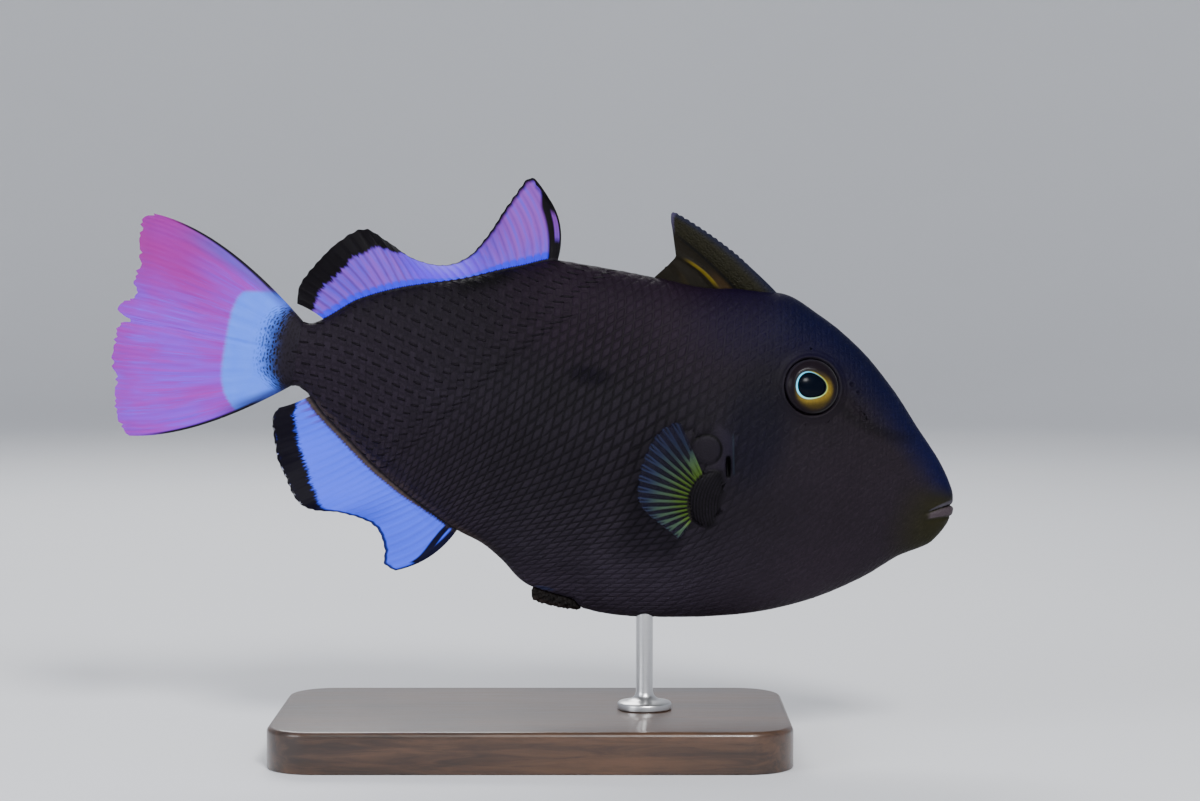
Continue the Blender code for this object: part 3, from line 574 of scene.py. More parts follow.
def groove_rise(left):
    along, across = turned(left, GROOVE, GROOVE_SLOPE_DEG)
    length, half, deep = GROOVE_SIZES
    return -deep * np.sqrt(np.maximum(1 - (along / length) ** 2 - (across / half) ** 2, 0.0))


def gill_rise(left):
    """The slit, the flap in front of it and the plates behind it."""
    along, across = turned(left, GILL, 90 - GILL_LEAN_DEG)
    half, length, deep = GILL_SIZES
    flap_across, flap_along, flap_length = GILL_FLAP
    ends = np.maximum(1 - ((along - flap_along) / flap_length) ** 2, 0.0)
    slit = np.sqrt(np.maximum(1 - (across / half) ** 2 - (along / length) ** 2, 0.0))
    rise = GILL_FLAP_RISE * hump(across - flap_across, GILL_FLAP_HALF) * ends - deep * slit
    groove_share, groove_half, groove_depth = GILL_GROOVE
    for number, (s, height, radius) in enumerate(GILL_PLATES):
        share = np.hypot(-left[:, 0] - s, left[:, 2] - height) / radius
        plate_rise = GILL_PLATE_RISE * (1.0 if number == 0 else SMALL_PLATE_SHARE)
        rise += plate_rise * ease(1.04, 0.8, share) * (1 - 0.3 * share)
        rise -= groove_depth * hump(share - groove_share, groove_half)
    return rise


def lobe_share(left):
    """0 outside the pectoral lobe, 1 on its crest, which bows forward toward both ends."""
    back = -left[:, 0]
    up = left[:, 2] - LOBE_CENTER[1]
    center = LOBE_CENTER[0] - LOBE_BEND * (up / LOBE_HALF[1]) ** 2
    share = ((back - center) / LOBE_HALF[0]) ** 2 + (up / LOBE_HALF[1]) ** 2
    return np.sqrt(np.maximum(1 - share, 0.0))


def skin_point(s, around):
    """Spots of the finished skin, with every swelling, fold and opening."""
    base = plain_skin(s, around)
    left = mirrored(base)
    flank = left[:, 1] > FLANK_SIDE
    rise = mouth_rise(left) - COAT_DEPTH
    details = eye_rise(left) + nostril_rise(left) + groove_rise(left) + gill_rise(left)
    rise = rise + np.where(flank, details, 0.0)
    reach = np.where(flank, lobe_share(left), 0.0) * LOBE_REACH
    slope = math.radians(PECTORAL_OUT_DEG)
    push = np.stack((-math.cos(slope) * reach, np.sign(base[:, 1]) * math.sin(slope) * reach,
                     0 * reach), axis=1)
    return base + normal_of(plain_skin, PLAIN_STEPS, s, around) * rise[:, None] + push


def skin_stations():
    cap = np.linspace(-1.0, 0.0, CAP_COLUMNS + 1)[:-1]
    front = FRONT_LENGTH * np.linspace(0.0, 1.0, FRONT_COLUMNS + 1) ** 2
    rest = np.linspace(FRONT_LENGTH, BODY_END, REST_COLUMNS + 1)[1:]
    end = np.linspace(BODY_END, BODY_END + 1, END_COLUMNS + 1)[1:]
    return np.concatenate((cap, front, rest, end))


def refine(bm, s_of, wanted, cuts):
    """Divide the edges whose two ends lie where the net has to be finer."""
    across, up = flat_places(bm)
    inside = wanted(mirrored(plain_skin(s_of(across), up % 1.0)))
    chosen = {vert for vert, keep in zip(bm.verts, inside) if keep}
    edges = [edge for edge in bm.edges if chosen.issuperset(edge.verts)]
    bmesh.ops.subdivide_edges(bm, edges=edges, cuts=cuts, use_grid_fill=True)


def near_eye(left):
    s, side, height = -left[:, 0], left[:, 1], left[:, 2]
    nose_s, nose_height, nose_radius = FINE_NOSE
    nose = np.hypot(s - nose_s, height - nose_height) < nose_radius
    return ((eye_distance(left) < FINE_EYE_RADIUS) | nose) & (side > FINE_SIDE)


def near_gill(left):
    s, side, height = -left[:, 0], left[:, 1], left[:, 2]
    half_long, half_high = FINE_GILL_HALF
    inside = (np.abs(s - FINE_GILL[0]) < half_long) & (np.abs(height - FINE_GILL[1]) < half_high)
    return inside & (side > FINE_SIDE)


def make_skin(material):
    """One skin over the head, the torso and the tail stalk."""
    stations = skin_stations()
    last = len(stations) - 1

    def s_of(share):
        return np.interp(share * last, np.arange(last + 1), stations)

    bm = flat_grid(last, SKIN_ROWS)
    refine(bm, s_of, near_eye, 2)
    refine(bm, s_of, near_gill, 2)
    across, up = flat_places(bm)
    bare_skin = bm.verts.layers.float.new("bare_skin")
    for vert, alone in zip(bm.verts, bare(plain_skin(s_of(across), up % 1.0))):
        vert[bare_skin] = float(alone)
    lay(bm, skin_point(s_of(across), up % 1.0), weld=True)
    skin = add_piece("skin", bm, material)
    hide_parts("head", "torso", "tail_stalk")


# Materials of the flesh

DARK = (0.0086, 0.0067, 0.0103)
BROWN = (0.0110, 0.0076, 0.0114)
FOREHEAD = (0.0004, 0.0016, 0.0280)
NAPE = (0.0062, 0.0022, 0.0210)
DUSK = (0.0030, 0.0024, 0.0080)
OLIVE = (0.0125, 0.0120, 0.0030)
PURPLE = (0.0142, 0.0068, 0.0160)
REAR = (0.0122, 0.0082, 0.0148)
TAIL_DARK = (0.0084, 0.0062, 0.0108)
ICY = (0.0480, 0.1600, 1.0000)
UPPER_LIP_TONE = (0.0440, 0.0400, 0.0500)
LOWER_LIP_TONE = (0.0460, 0.0350, 0.0410)
FLAP_TONE = (0.0100, 0.0140, 0.0230)
# Painted light for the eye's socket, which lifts the shade of its gap
SOCKET_FILL_LIGHT = (0.0180, 0.0150, 0.0230)
GLINT_TONE = (0.0300, 0.0360, 0.0850)
FRINGE_TONE = (0.0440, 0.0310, 0.0280)
SMUDGE_TONE = (0.0014, 0.0003, 0.0034)

# Marks of the side view, each at a place (s, height). Only a share of the run in s counts for
# the glint and the smudge, and the dusk's heights are squashed before its place is measured
DUSK_SPOT = (61.5, 7.0)
DUSK_SQUASH = 0.6
MUZZLE_SPOT = (-1.0, 0.0, -7.0)
GLINT_SPOT = (113.4, -45.4)
GLINT_RUN_SHARE = 0.22
SMUDGE_SPOT = (111.2, 19.1)
SMUDGE_RUN_SHARE = 0.45
SHADE_SPOT = (145.0, 43.0)
SHADE_SLOPE = 0.42

# Curves of the side view: where each starts, its level there and its bend. The forehead's is
# measured from a line at 45 degrees, and the keel's has a slope before its bend
FOREHEAD_EDGE = (30.0, 6.2, 0.0165)
DARK_STREAK = (17.0, 16.3, 0.0126)
KEEL_EDGE = (160.0, -24.2, 0.581, 0.0038)

# Heights between which the net of scales fades on the belly
BELLY_FADE = (-22.0, -40.0)

# The net of scales: bare on the face, in level rows on the rear flank, in arcs on the lobe
FACE_RANGE = (46.0, 90.0)
FACE_SLOPE = 0.5
ROWED_BAND = (132.0, 172.0)
ROWED_SLOPE = 0.8
LOBE_ARC_PITCH = 0.90


def lip_masks(paint, s, side, height):
    """Where each lip is, from the same curve as the mouth's relief."""
    corner_s, corner_side, corner_height = MOUTH_CORNER
    front_s, front_height = MOUTH_FRONT
    angle = paint.math("ARCTAN2", paint.size(side) / corner_side,
                       (corner_s - s) / (corner_s - front_s))
    bend = paint.math("COSINE", paint.least(angle, math.pi / 2))
    off = height - (corner_height + (front_height - corner_height) * bend)
    fade = paint.ease(math.radians(90), math.radians(78), angle) * paint.ease(12.0, 9.0, s)
    upper = paint.ease(2.2, 1.4, off / (0.4 + 0.6 * bend)) * paint.ease(0.05, 0.4, off)
    lower = paint.ease(-3.3, -2.7, off / (0.62 + 0.38 * bend)) * paint.ease(-0.1, -0.5, off)
    return upper * fade, lower * fade


def body_tones(paint, s, height, mottle):
    """The ground colours: brown head, purple back, dark rear, nape and the dusk behind the eye."""
    tone = paint.mix(paint.ease(30.0, 78.0, s), BROWN, DARK)
    tone = paint.mix(paint.ease(120.0, 185.0, s) * 0.9, tone, REAR)
    upper = paint.ease(12.0, 38.0, height) * paint.span(56.0, 85.0, 120.0, 160.0, s)
    tone = paint.mix(upper, tone, PURPLE)
    nape = paint.ease(24.0, 42.0, height) * paint.ease(94.0, 68.0, s)
    tone = paint.mix(nape * 0.85, tone, NAPE)
    dusk = paint.away(s, height * DUSK_SQUASH, DUSK_SPOT)
    return paint.mix(paint.ease(14.0, 4.0, dusk + (mottle - 0.5) * 4.0) * 0.75, tone, DUSK)


def face_tones(paint, tone, place, s, height, mottle, speckle):
    """The blue forehead, the dark streak ahead of the eye, painted light in the eye's socket and the
    muzzle.
    """
    start, level, bend = FOREHEAD_EDGE
    past = paint.most(s - start, 0.0)
    under_profile = s + level - bend * past * past - height
    band = 13.0 + 0.15 * s
    front = paint.ease(1.0, 0.15, (under_profile + (mottle - 0.5) * 5.0) / band)
    front = front * paint.ease(70.0, 50.0, s)
    tone = paint.mix(front * (0.78 + 0.22 * speckle), tone, FOREHEAD)
    start, level, bend = DARK_STREAK
    past = s - start
    off_streak = paint.size(height - level - bend * past * past)
    streak = paint.ease(3.0, 0.3, off_streak) * paint.span(12.0, 21.0, 36.0, 41.0, s)
    tone = paint.tint(tone, 1 - 0.40 * streak)
    from_eye = paint.away(s, height, (EYE_S, EYE_HEIGHT))
    # Painted light: the socket's ring round the upper half of the eye is made lighter against its
    # shade
    socket = paint.ease(9.0, 8.3, from_eye) * paint.ease(EYE_HEIGHT - 6.0, EYE_HEIGHT + 1.0, height)
    tone = paint.mix(socket, tone, SOCKET_FILL_LIGHT)
    muzzle = paint.ease(22.0, 6.0, paint.distance(place, MUZZLE_SPOT))
    return paint.mix(muzzle * paint.ease(6.0, 0.0, height) * 0.85, tone, OLIVE)


def gill_tones(paint, tone, s, side, height):
    """The pale halo and dark rim of the gill's large plate, the flap, painted shade in the slit and
    the lobe with a painted shadow on its front edge.
    """
    plate_s, plate_height, radius = GILL_PLATES[0]
    around_plate = paint.away(s, height, (plate_s, plate_height))
    lean = math.radians(GILL_LEAN_DEG)
    across = (s - GILL[0]) * math.cos(lean) - (height - GILL[1]) * math.sin(lean)
    flap_across, flap_along, flap_length = GILL_FLAP
    halo = paint.span(radius + 0.2, radius + 1.2, 7.2, 8.8, around_plate)
    halo = halo * paint.ease(plate_s, plate_s - 3.5, s) * paint.ease(-2.0, 0.0, height)
    halo = halo * paint.ease(flap_across - 0.2, flap_across + 0.4, across)
    upper_right = paint.ease(-2.5, 1.0, height - plate_height + (plate_s - s) * 0.6)
    rim = paint.ease(0.55, 0.15, paint.size(around_plate - radius - 0.2))
    tone = paint.tint(tone, (1 + 0.55 * halo) * (1 - 0.8 * rim * (0.25 + 0.75 * upper_right)))
    from_flap = paint.size(height - GILL[1] - flap_along)
    flap = paint.ease(0.42, 0.12, paint.size(across - flap_across))
    flap = flap * paint.ease(flap_length, flap_length - 1.5, from_flap)
    tone = paint.mix(flap * 0.75, tone, FLAP_TONE)
    # Painted shade: the gill slit is made nearly black
    slit_end = paint.size(height - GILL[1])
    slit = paint.ease(0.95, 0.40, paint.size(across)) * paint.ease(3.6, 2.4, slit_end)
    tone = paint.tint(tone, 1 - 0.94 * slit)
    lobe_up = (height - LOBE_CENTER[1]) / LOBE_HALF[1]
    lobe_back = (s - LOBE_CENTER[0] + LOBE_BEND * lobe_up * lobe_up) / LOBE_HALF[0]
    lobe = (lobe_up * lobe_up + lobe_back * lobe_back) ** 0.5
    # Painted shadow along the lobe's front edge, laid on below
    outline = paint.ease(0.10, 0.03, paint.size(lobe - 1.03)) * paint.ease(76.0, 73.5, s)
    on_lobe = paint.ease(1.04, 0.96, lobe) * paint.ease(4.0, 8.0, paint.size(side))
    arcs = paint.ease(0.15, 0.40, paint.off_middle(lobe_back * (LOBE_HALF[0] / LOBE_ARC_PITCH)))
    tone = paint.tint(tone, 1 - on_lobe * (0.25 + 0.65 * arcs))
    # The painted shadow along the lobe's front edge, heaviest high up and forward
    return paint.tint(tone, 1 - 0.7 * outline * (0.4 + 0.6 * upper_right))


def belly_tones(paint, tone, s, height, mottle):
    """Painted bounce light on the belly, painted shade towards the top, the glint by the pelvic spine,
    the keel's fringe and the dark marks.
    """
    # Painted bounce light: the lower body is made lighter, most of all below and behind the pectoral
    # fin
    painted_bounce = 0.65 + 0.7 * paint.ease(56.0, 84.0, s) - 0.5 * paint.ease(94.0, 108.0, s)
    lift = 1 + painted_bounce * paint.ease(-8.0, -40.0, height)
    # More painted bounce light on the lowest band of the belly, from the pelvic spine back
    lift = lift + 1.5 * paint.ease(-38.0, -45.0, height) * paint.ease(98.0, 108.0, s)
    # Painted shade: the body is made darker towards the top, against the stronger light from above
    tone = paint.tint(tone, lift * (1 - 0.45 * paint.ease(0.0, 38.0, height)))
    glint = paint.away(s, height, GLINT_SPOT, GLINT_RUN_SHARE)
    tone = paint.mix(paint.ease(0.8, 0.3, glint) * 0.8, tone, GLINT_TONE)
    start, level, slope, bend = KEEL_EDGE
    past = s - start
    keel = bend * past * past + slope * past + level
    fringe = paint.ease(3.3, 0.9, height - keel + (mottle - 0.5) * 3.0)
    fringe = fringe * paint.span(126.0, 138.0, 186.0, 192.0, s)
    tone = paint.mix(fringe * 0.8, tone, FRINGE_TONE)
    smudge = paint.away(s, height, SMUDGE_SPOT, SMUDGE_RUN_SHARE)
    tone = paint.mix(0.9 * paint.ease(4.3, 1.6, smudge + mottle * 0.8), tone, SMUDGE_TONE)
    shade_s, shade_height = SHADE_SPOT
    shade = paint.ease(-6.5, -2.0, height + SHADE_SLOPE * (s - shade_s) - shade_height)
    shade = shade * paint.span(136.0, 142.0, 150.0, 156.0, s)
    tone = paint.tint(tone, 1 - 0.8 * shade)
    return paint.mix(paint.ease(194.0, 204.0, s), tone, TAIL_DARK)


def flesh_color(paint, place):
    """The markings that skin and scales share."""
    back, side, height = paint.parts(place)
    s = 0 - back
    mottle = paint.noise(place, 0.09, 4.0)
    speckle = paint.noise(place, 0.55, 3.0, 0.6)
    tone = body_tones(paint, s, height, mottle)
    tone = face_tones(paint, tone, place, s, height, mottle, speckle)
    tone = gill_tones(paint, tone, s, side, height)
    tone = belly_tones(paint, tone, s, height, mottle)
    tone = paint.tint(tone, 0.66 + 0.40 * mottle + 0.28 * speckle)
    upper_lip, lower_lip = lip_masks(paint, s, side, height)
    tone = paint.mix(upper_lip, tone, UPPER_LIP_TONE)
    tone = paint.mix(lower_lip, tone, LOWER_LIP_TONE)
    return tone, s, side, height


def off_face(paint, s, height):
    """0 on the face, 1 behind it."""
    return paint.ease(*FACE_RANGE, s - FACE_SLOPE * paint.most(height, 0.0))


def net_share(paint, s, height):
    """How far the net of dark lines shows: 0 on the face, faint along back and belly."""
    shown = off_face(paint, s, height)
    shown = shown * (1 - 0.7 * paint.ease(28.0, 43.0, height) * paint.ease(150.0, 126.0, s))
    return shown * (1 - 0.6 * paint.ease(*BELLY_FADE, height))


def rowed_share(paint, s, height):
    """1 on the rear flank, where the scales stand in level rows."""
    return paint.ease(*ROWED_BAND, s + ROWED_SLOPE * height)


def make_skin_paint():
    paint = Paint("skin_paint", roughness=0.5, Specular_IOR_Level=0.08)
    place = paint.place()
    tone, s, side, height = flesh_color(paint, place)
    pores = paint.cells(place, 2.2)
    fine = paint.noise(place, 1.3, 4.0, 0.7)
    seam = net_share(paint, s, height) * (1 - paint.mark("bare_skin"))
    seam = seam * (1 - 0.75 * rowed_share(paint, s, height))
    tone = paint.tint(tone, (1 - 0.54 * seam) * (0.85 + 0.3 * pores))
    lips = paint.ease(11.0, 8.0, s) * paint.span(-7.0, -5.0, 0.5, 2.0, height)
    paint.relief(fine * 0.5 + pores * 0.5, 0.12)
    return paint.finish(Base_Color=tone, Roughness=0.46 + 0.16 * fine - 0.12 * lips)


# The coat of scale plates

# The rows of two families of lines that part the scales are numbered by these sums of powers
# of s / 100 - 1 and of the run round the body from its widest line / 50
SHALLOW_ROWS = (
    12.28, -4.09, 10.33, -0.73, -4.87, 21.82, 6.84, -4.05, -1.34, 3.01, 12.32, 1.82, 4.22,
    -13.71, 16.60, -22.14, 5.04, -12.20, 10.99, -1.17)
STEEP_ROWS = (
    1.37, -5.00, 6.28, -0.36, -3.61, 36.88, 0.86, -0.14, 0.15, -2.52, 7.52, -9.06, 1.73,
    -2.87, 12.80, -4.48, 10.30, -13.10, 4.96, 0.34)
POWERS = [(i, j) for i in range(6) for j in range(6 - i) if i + j > 0]
LOBE_PITCH = (0.66, 1.5)

# A plate's outline: the three corners of one quarter, then each ring's share of it and lift
PLATE_CORNER = ((1.0, 0.60), (0.93, 0.93), (0.60, 1.0))
CORNERS = 4 * len(PLATE_CORNER)
PLATE_RINGS = ((0.92, -0.10), (0.80, 0.05), (0.52, 0.11))
PLATE_CROWN = 0.13

# The roots of the coat: shares of the round body on one side, its length in millimetres, and
# how close to the middle plane a plate may come
COAT_ROUND = (0.003, 0.497)
COAT_ROUND_LENGTH = 110
COAT_MARGIN = 0.0015
COAT_END = 0.7

# The stretch of s and the step of the search for roots, for the body and for the lobe
BODY_STRETCH = (1.0, BODY_END + 0.4)
BODY_STEP = 0.45
LOBE_STRETCH = (66.0, 83.0)
LOBE_STEP = 0.3

# No large plates: within a radius of the eye, on the slit (half width, half length), in the
# fold ahead of the gill's large plate, on the lips (s, height, squash, radius) and on the lobe
BARE_EYE_RADIUS = 11.4
BARE_SLIT = (1.7, 5.2)
BARE_FOLD = (8.6, 1.0, -1.5)
BARE_LIPS = (1.0, -3.0, 0.9, 8.0)
BARE_RIMS = (0.4, 0.5)
BARE_LOBE_SHARE = 1.05
FINE_LOBE_SHARE = 0.93

# A plate's patch in the unwrap, the share of its relief that is left on the face, the pitch at
# which its relief is whole, the most that may become, and how unevenly the plates stand
COAT_PATCH = 0.003
FACE_RELIEF = 0.28
PLATE_PITCH = 2.6
PLATE_GROWTH = 1.15
PLATE_UNEVEN = 0.012

# Raised dashes of the rear flank: half length in plates, half height in plates, and rise
RIDGE_SIZES = (0.70, 0.125, 0.24)
RIDGE_RINGS = ((1.0, 0.0), (0.7, 0.75), (0.35, 1.0))
RIDGE_FROM = 0.35


def coat_rows(s, arc):
    """Row numbers of the two families of lines that part the scales."""
    terms = [(s / 100 - 1) ** i * (arc / 50) ** j for i, j in POWERS]
    shallow = sum(factor * term for factor, term in zip(SHALLOW_ROWS, terms))
    steep = sum(factor * term for factor, term in zip(STEEP_ROWS, terms))
    return shallow, steep


def lobe_rows(s, arc):
    """Row numbers of the fine scales on the pectoral lobe."""
    along, up = LOBE_PITCH
    return arc / up - 0.5 * s / along, s / along


def coat_roots(hand, rows_at, s_range, pitch):
    """Where the scales of one side grow, their steps along both rows, and their row numbers."""
    stations = np.arange(s_range[0], s_range[1], pitch)
    rounds = np.linspace(*COAT_ROUND, round(COAT_ROUND_LENGTH / pitch))
    if hand < 0:
        rounds = 1 - rounds
    grid_s, grid_around = np.meshgrid(stations, rounds, indexing="ij")
    spots = plain_skin(grid_s.ravel(), grid_around.ravel()).reshape(*grid_s.shape, 3)
    steps = np.linalg.norm(np.diff(spots, axis=1), axis=2)
    arc = np.concatenate((np.zeros((len(stations), 1)), np.cumsum(steps, axis=1)), axis=1)
    middle = len(rounds) // 2
    shallow, steep = rows_at(grid_s, arc - arc[:, middle:middle + 1])
    a_s, a_r = np.gradient(shallow)
    b_s, b_r = np.gradient(steep)
    off_a = np.round(shallow) - shallow
    off_b = np.round(steep) - steep
    size = a_s * b_r - a_r * b_s
    move_s = (off_a * b_r - off_b * a_r) / size
    move_r = (off_b * a_s - off_a * b_s) / size
    found = (np.abs(move_s) <= 0.5) & (np.abs(move_r) <= 0.5)
    numbers = np.stack((np.round(shallow)[found], np.round(steep)[found]), axis=1)
    numbers, kept = np.unique(numbers, axis=0, return_index=True)
    pitches = np.array((stations[1] - stations[0], rounds[1] - rounds[0]))
    centers = np.stack((grid_s, grid_around), axis=2)
    roots = (centers + np.stack((move_s, move_r), axis=2) * pitches)[found][kept]
    step_a = (np.stack((b_r, -b_s), axis=2) / size[:, :, None] * pitches)[found][kept]
    step_b = (np.stack((-a_r, a_s), axis=2) / size[:, :, None] * pitches)[found][kept]
    return roots, step_a, step_b, numbers


def on_lobe(left, grow=1.0):
    s, height = -left[:, 0], left[:, 2]
    across = (s - LOBE_CENTER[0]) / (LOBE_HALF[0] * grow)
    return np.hypot(across, (height - LOBE_CENTER[1]) / (LOBE_HALF[1] * grow)) < 1.0


def bare(spots):
    """Where no large plates grow: eyes, lips, nostrils, gill and the pectoral lobe."""
    left = mirrored(spots)
    s, height = -left[:, 0], left[:, 2]
    along, across = turned(left, GILL, 90 - GILL_LEAN_DEG)
    half, length = BARE_SLIT
    slit = (np.abs(across) < half) & (np.abs(along) < length)
    plate_s, plate_height, plate_radius = GILL_PLATES[0]
    from_plate = np.hypot(s - plate_s, height - plate_height)
    reach, ahead, lowest = BARE_FOLD
    fold = (across > -half) & (from_plate < reach) & (s < plate_s - ahead) & (height > lowest)
    plate_rim, nostril_rim = BARE_RIMS
    holes = (eye_distance(left) < BARE_EYE_RADIUS) | fold | (from_plate < plate_radius + plate_rim)
    for nostril_s, nostril_height, radius in NOSTRILS:
        holes |= np.hypot(s - nostril_s, height - nostril_height) < radius + nostril_rim
    lip_s, lip_height, squash, reach = BARE_LIPS
    lips = np.hypot(s - lip_s, (height - lip_height) * squash) < reach
    return slit | holes | lips | on_lobe(left, BARE_LOBE_SHARE)


def strewn(name, material, shapes, faces, roots, shades, marks):
    """One mesh of many small solids: shapes holds the spots of each, faces is shared by all."""
    count, each = shapes.shape[:2]
    corners = np.concatenate(faces)
    lengths = np.array([len(face) for face in faces])
    loops = (corners[None, :] + each * np.arange(count)[:, None]).ravel()
    totals = np.tile(lengths, count)
    mesh = bpy.data.meshes.new(name)
    mesh.vertices.add(count * each)
    mesh.vertices.foreach_set("co", to_world(shapes.reshape(-1, 3)).ravel())
    mesh.loops.add(len(loops))
    mesh.loops.foreach_set("vertex_index", loops)
    mesh.polygons.add(len(totals))
    mesh.polygons.foreach_set("loop_start", np.concatenate(([0], np.cumsum(totals)[:-1])))
    mesh.update(calc_edges=True)
    bm = bmesh.new()
    bm.from_mesh(mesh)
    bpy.data.meshes.remove(mesh)
    bmesh.ops.recalc_face_normals(bm, faces=bm.faces)
    piece = add_piece(name, bm, material)

    unwrap = np.stack((roots[:, 0] / (BODY_END + 5), roots[:, 1]), axis=1)
    angle = math.tau * np.arange(each) / CORNERS
    reach = 0.5 * COAT_PATCH * (1 - np.arange(each) // CORNERS / (each // CORNERS + 1))
    patch = np.stack((np.cos(angle) * reach, np.sin(angle) * reach), axis=1)
    flat = (unwrap[:, None, :] + patch[None, :, :]).reshape(-1, 2)
    corner_verts = np.zeros(len(piece.data.loops), dtype=np.int32)
    piece.data.loops.foreach_get("vertex_index", corner_verts)
    layer = piece.data.uv_layers.new(name="OFBake")
    layer.data.foreach_set("uv", flat[corner_verts].ravel().astype(np.float32))
    mark(piece, "shade", np.repeat(shades, each))
    for label, values in marks.items():
        mark(piece, label, np.tile(values, count))


def ringed_faces(rings):
    """Faces of a low solid of rings with a crown point and a flat underside."""
    ring = np.arange(CORNERS)
    following = (ring + 1) % CORNERS
    faces = []
    for level in range(rings - 1):
        low, high = CORNERS * level, CORNERS * (level + 1)
        faces += list(np.stack((ring + low, following + low, following + high, ring + high),
                               axis=1))
    top = CORNERS * (rings - 1)
    faces += list(np.stack((ring + top, following + top, 0 * ring + CORNERS * rings), axis=1))
    return faces + [ring[::-1]]


def solid_spots(roots, steps_one, steps_two, outline, lifts, hand):
    """Spots of small solids that stand on the skin, spread along two steps from each root."""
    places = (roots[:, None, :] + outline[None, :, :1] * steps_one[:, None, :]
              + outline[None, :, 1:] * steps_two[:, None, :])
    low = COAT_MARGIN if hand > 0 else 0.5 + COAT_MARGIN
    s = np.clip(places[:, :, 0], 0.2, BODY_END + COAT_END).ravel()
    around = np.clip(places[:, :, 1], low, low + 0.5 - 2 * COAT_MARGIN).ravel()
    out = normal_of(skin_point, SKIN_STEPS, s, around)
    spots = skin_point(s, around) + out * lifts.ravel()[:, None]
    return spots.reshape(*places.shape[:2], 3)


def ring_values(values, crown):
    """One number for each vertex of a ringed solid: the same round a ring, then the crown's."""
    return np.concatenate((np.repeat(values, CORNERS), [crown]))


def plate_outline():
    """Each vertex of a plate in shares of its two steps, and its lift off the skin."""
    corner = np.array(PLATE_CORNER)
    quarters = [corner]
    for _ in range(3):
        corner = np.stack((-corner[:, 1], corner[:, 0]), axis=1)
        quarters.append(corner)
    rim = np.concatenate(quarters) / 2
    rings = [rim * share for share, lift in PLATE_RINGS]
    lifts = ring_values([lift for share, lift in PLATE_RINGS], PLATE_CROWN)
    return np.concatenate(rings + [np.zeros((1, 2))]), lifts


def ridge_outline():
    """The same for a raised dash."""
    half_long, half_high, rise = RIDGE_SIZES
    angle = math.tau * np.arange(CORNERS) / CORNERS
    ring = np.stack((np.sin(angle) * half_high, np.cos(angle) * half_long), axis=1)
    rings = [ring * share for share, lift in RIDGE_RINGS]
    lifts = ring_values([rise * lift for share, lift in RIDGE_RINGS], rise)
    return np.concatenate(rings + [np.zeros((1, 2))]), lifts


def make_coat(side_name, hand, material):
    """The scale plates of one side, the fine ones of its pectoral lobe and its rear ridges."""
    rng = np.random.default_rng(7 + hand)
    outline, lifts = plate_outline()
    faces = ringed_faces(len(PLATE_RINGS))
    grids = ((coat_rows, BODY_STRETCH, BODY_STEP, False),
             (lobe_rows, LOBE_STRETCH, LOBE_STEP, True))
    shapes, roots_all = [], []
    for rows_at, s_range, pitch, fine in grids:
        roots, step_a, step_b, numbers = coat_roots(hand, rows_at, s_range, pitch)
        spots = skin_point(*roots.T)
        height = spots[:, 2]
        if fine:
            keep = on_lobe(mirrored(plain_skin(*roots.T)), FINE_LOBE_SHARE)
        else:
            keep = ~bare(spots)
        roots, step_a, step_b, numbers, height = (
            part[keep] for part in (roots, step_a, step_b, numbers, height))
        rowed = ease(*ROWED_BAND, roots[:, 0] + ROWED_SLOPE * height)
        wide = step_b + step_a * rowed[:, None]
        across = skin_point(*(roots + wide / 2).T) - skin_point(*(roots - wide / 2).T)
        size = np.minimum(np.linalg.norm(across, axis=1) / PLATE_PITCH, PLATE_GROWTH)
        calm = ease(*FACE_RANGE, roots[:, 0] - FACE_SLOPE * np.maximum(height, 0.0))
        size = size * (FACE_RELIEF + (1 - FACE_RELIEF) * calm) * (1 - 0.5 * rowed)
        size = size * (1 - 0.5 * ease(*BELLY_FADE, height))
        lift = lifts[None, :] * np.where(lifts > 0, size[:, None], 1.0)
        lift = lift + rng.uniform(-PLATE_UNEVEN, PLATE_UNEVEN, (len(roots), 1))
        shapes.append(solid_spots(roots, step_a, wide, outline, lift, hand))
        roots_all.append(roots)
        if not fine:
            rear = (rowed > RIDGE_FROM) & (numbers[:, 0] % 2 == 0)
            ridge_of = roots[rear], step_a[rear], wide[rear]
    roots = np.concatenate(roots_all)
    rims = ring_values([1.0, 0.35, 0.0], 0.0)
    strewn(f"scales_{side_name}", material, np.concatenate(shapes), faces, roots,
           rng.uniform(0.0, 1.0, len(roots)), {"rim": rims, "ridge": 0 * rims})

    outline, lifts = ridge_outline()
    roots, high, wide = ridge_of
    length = 1 + rng.uniform(-0.3, 0.2, (len(roots), 1))
    lift = np.tile(lifts, (len(roots), 1))
    spots = solid_spots(roots, high, wide * length, outline, lift, hand)
    strewn(f"ridges_{side_name}", material, spots, faces, roots,
           rng.uniform(0.0, 1.0, len(roots)), {"rim": 0 * lifts, "ridge": 0 * lifts + 1})


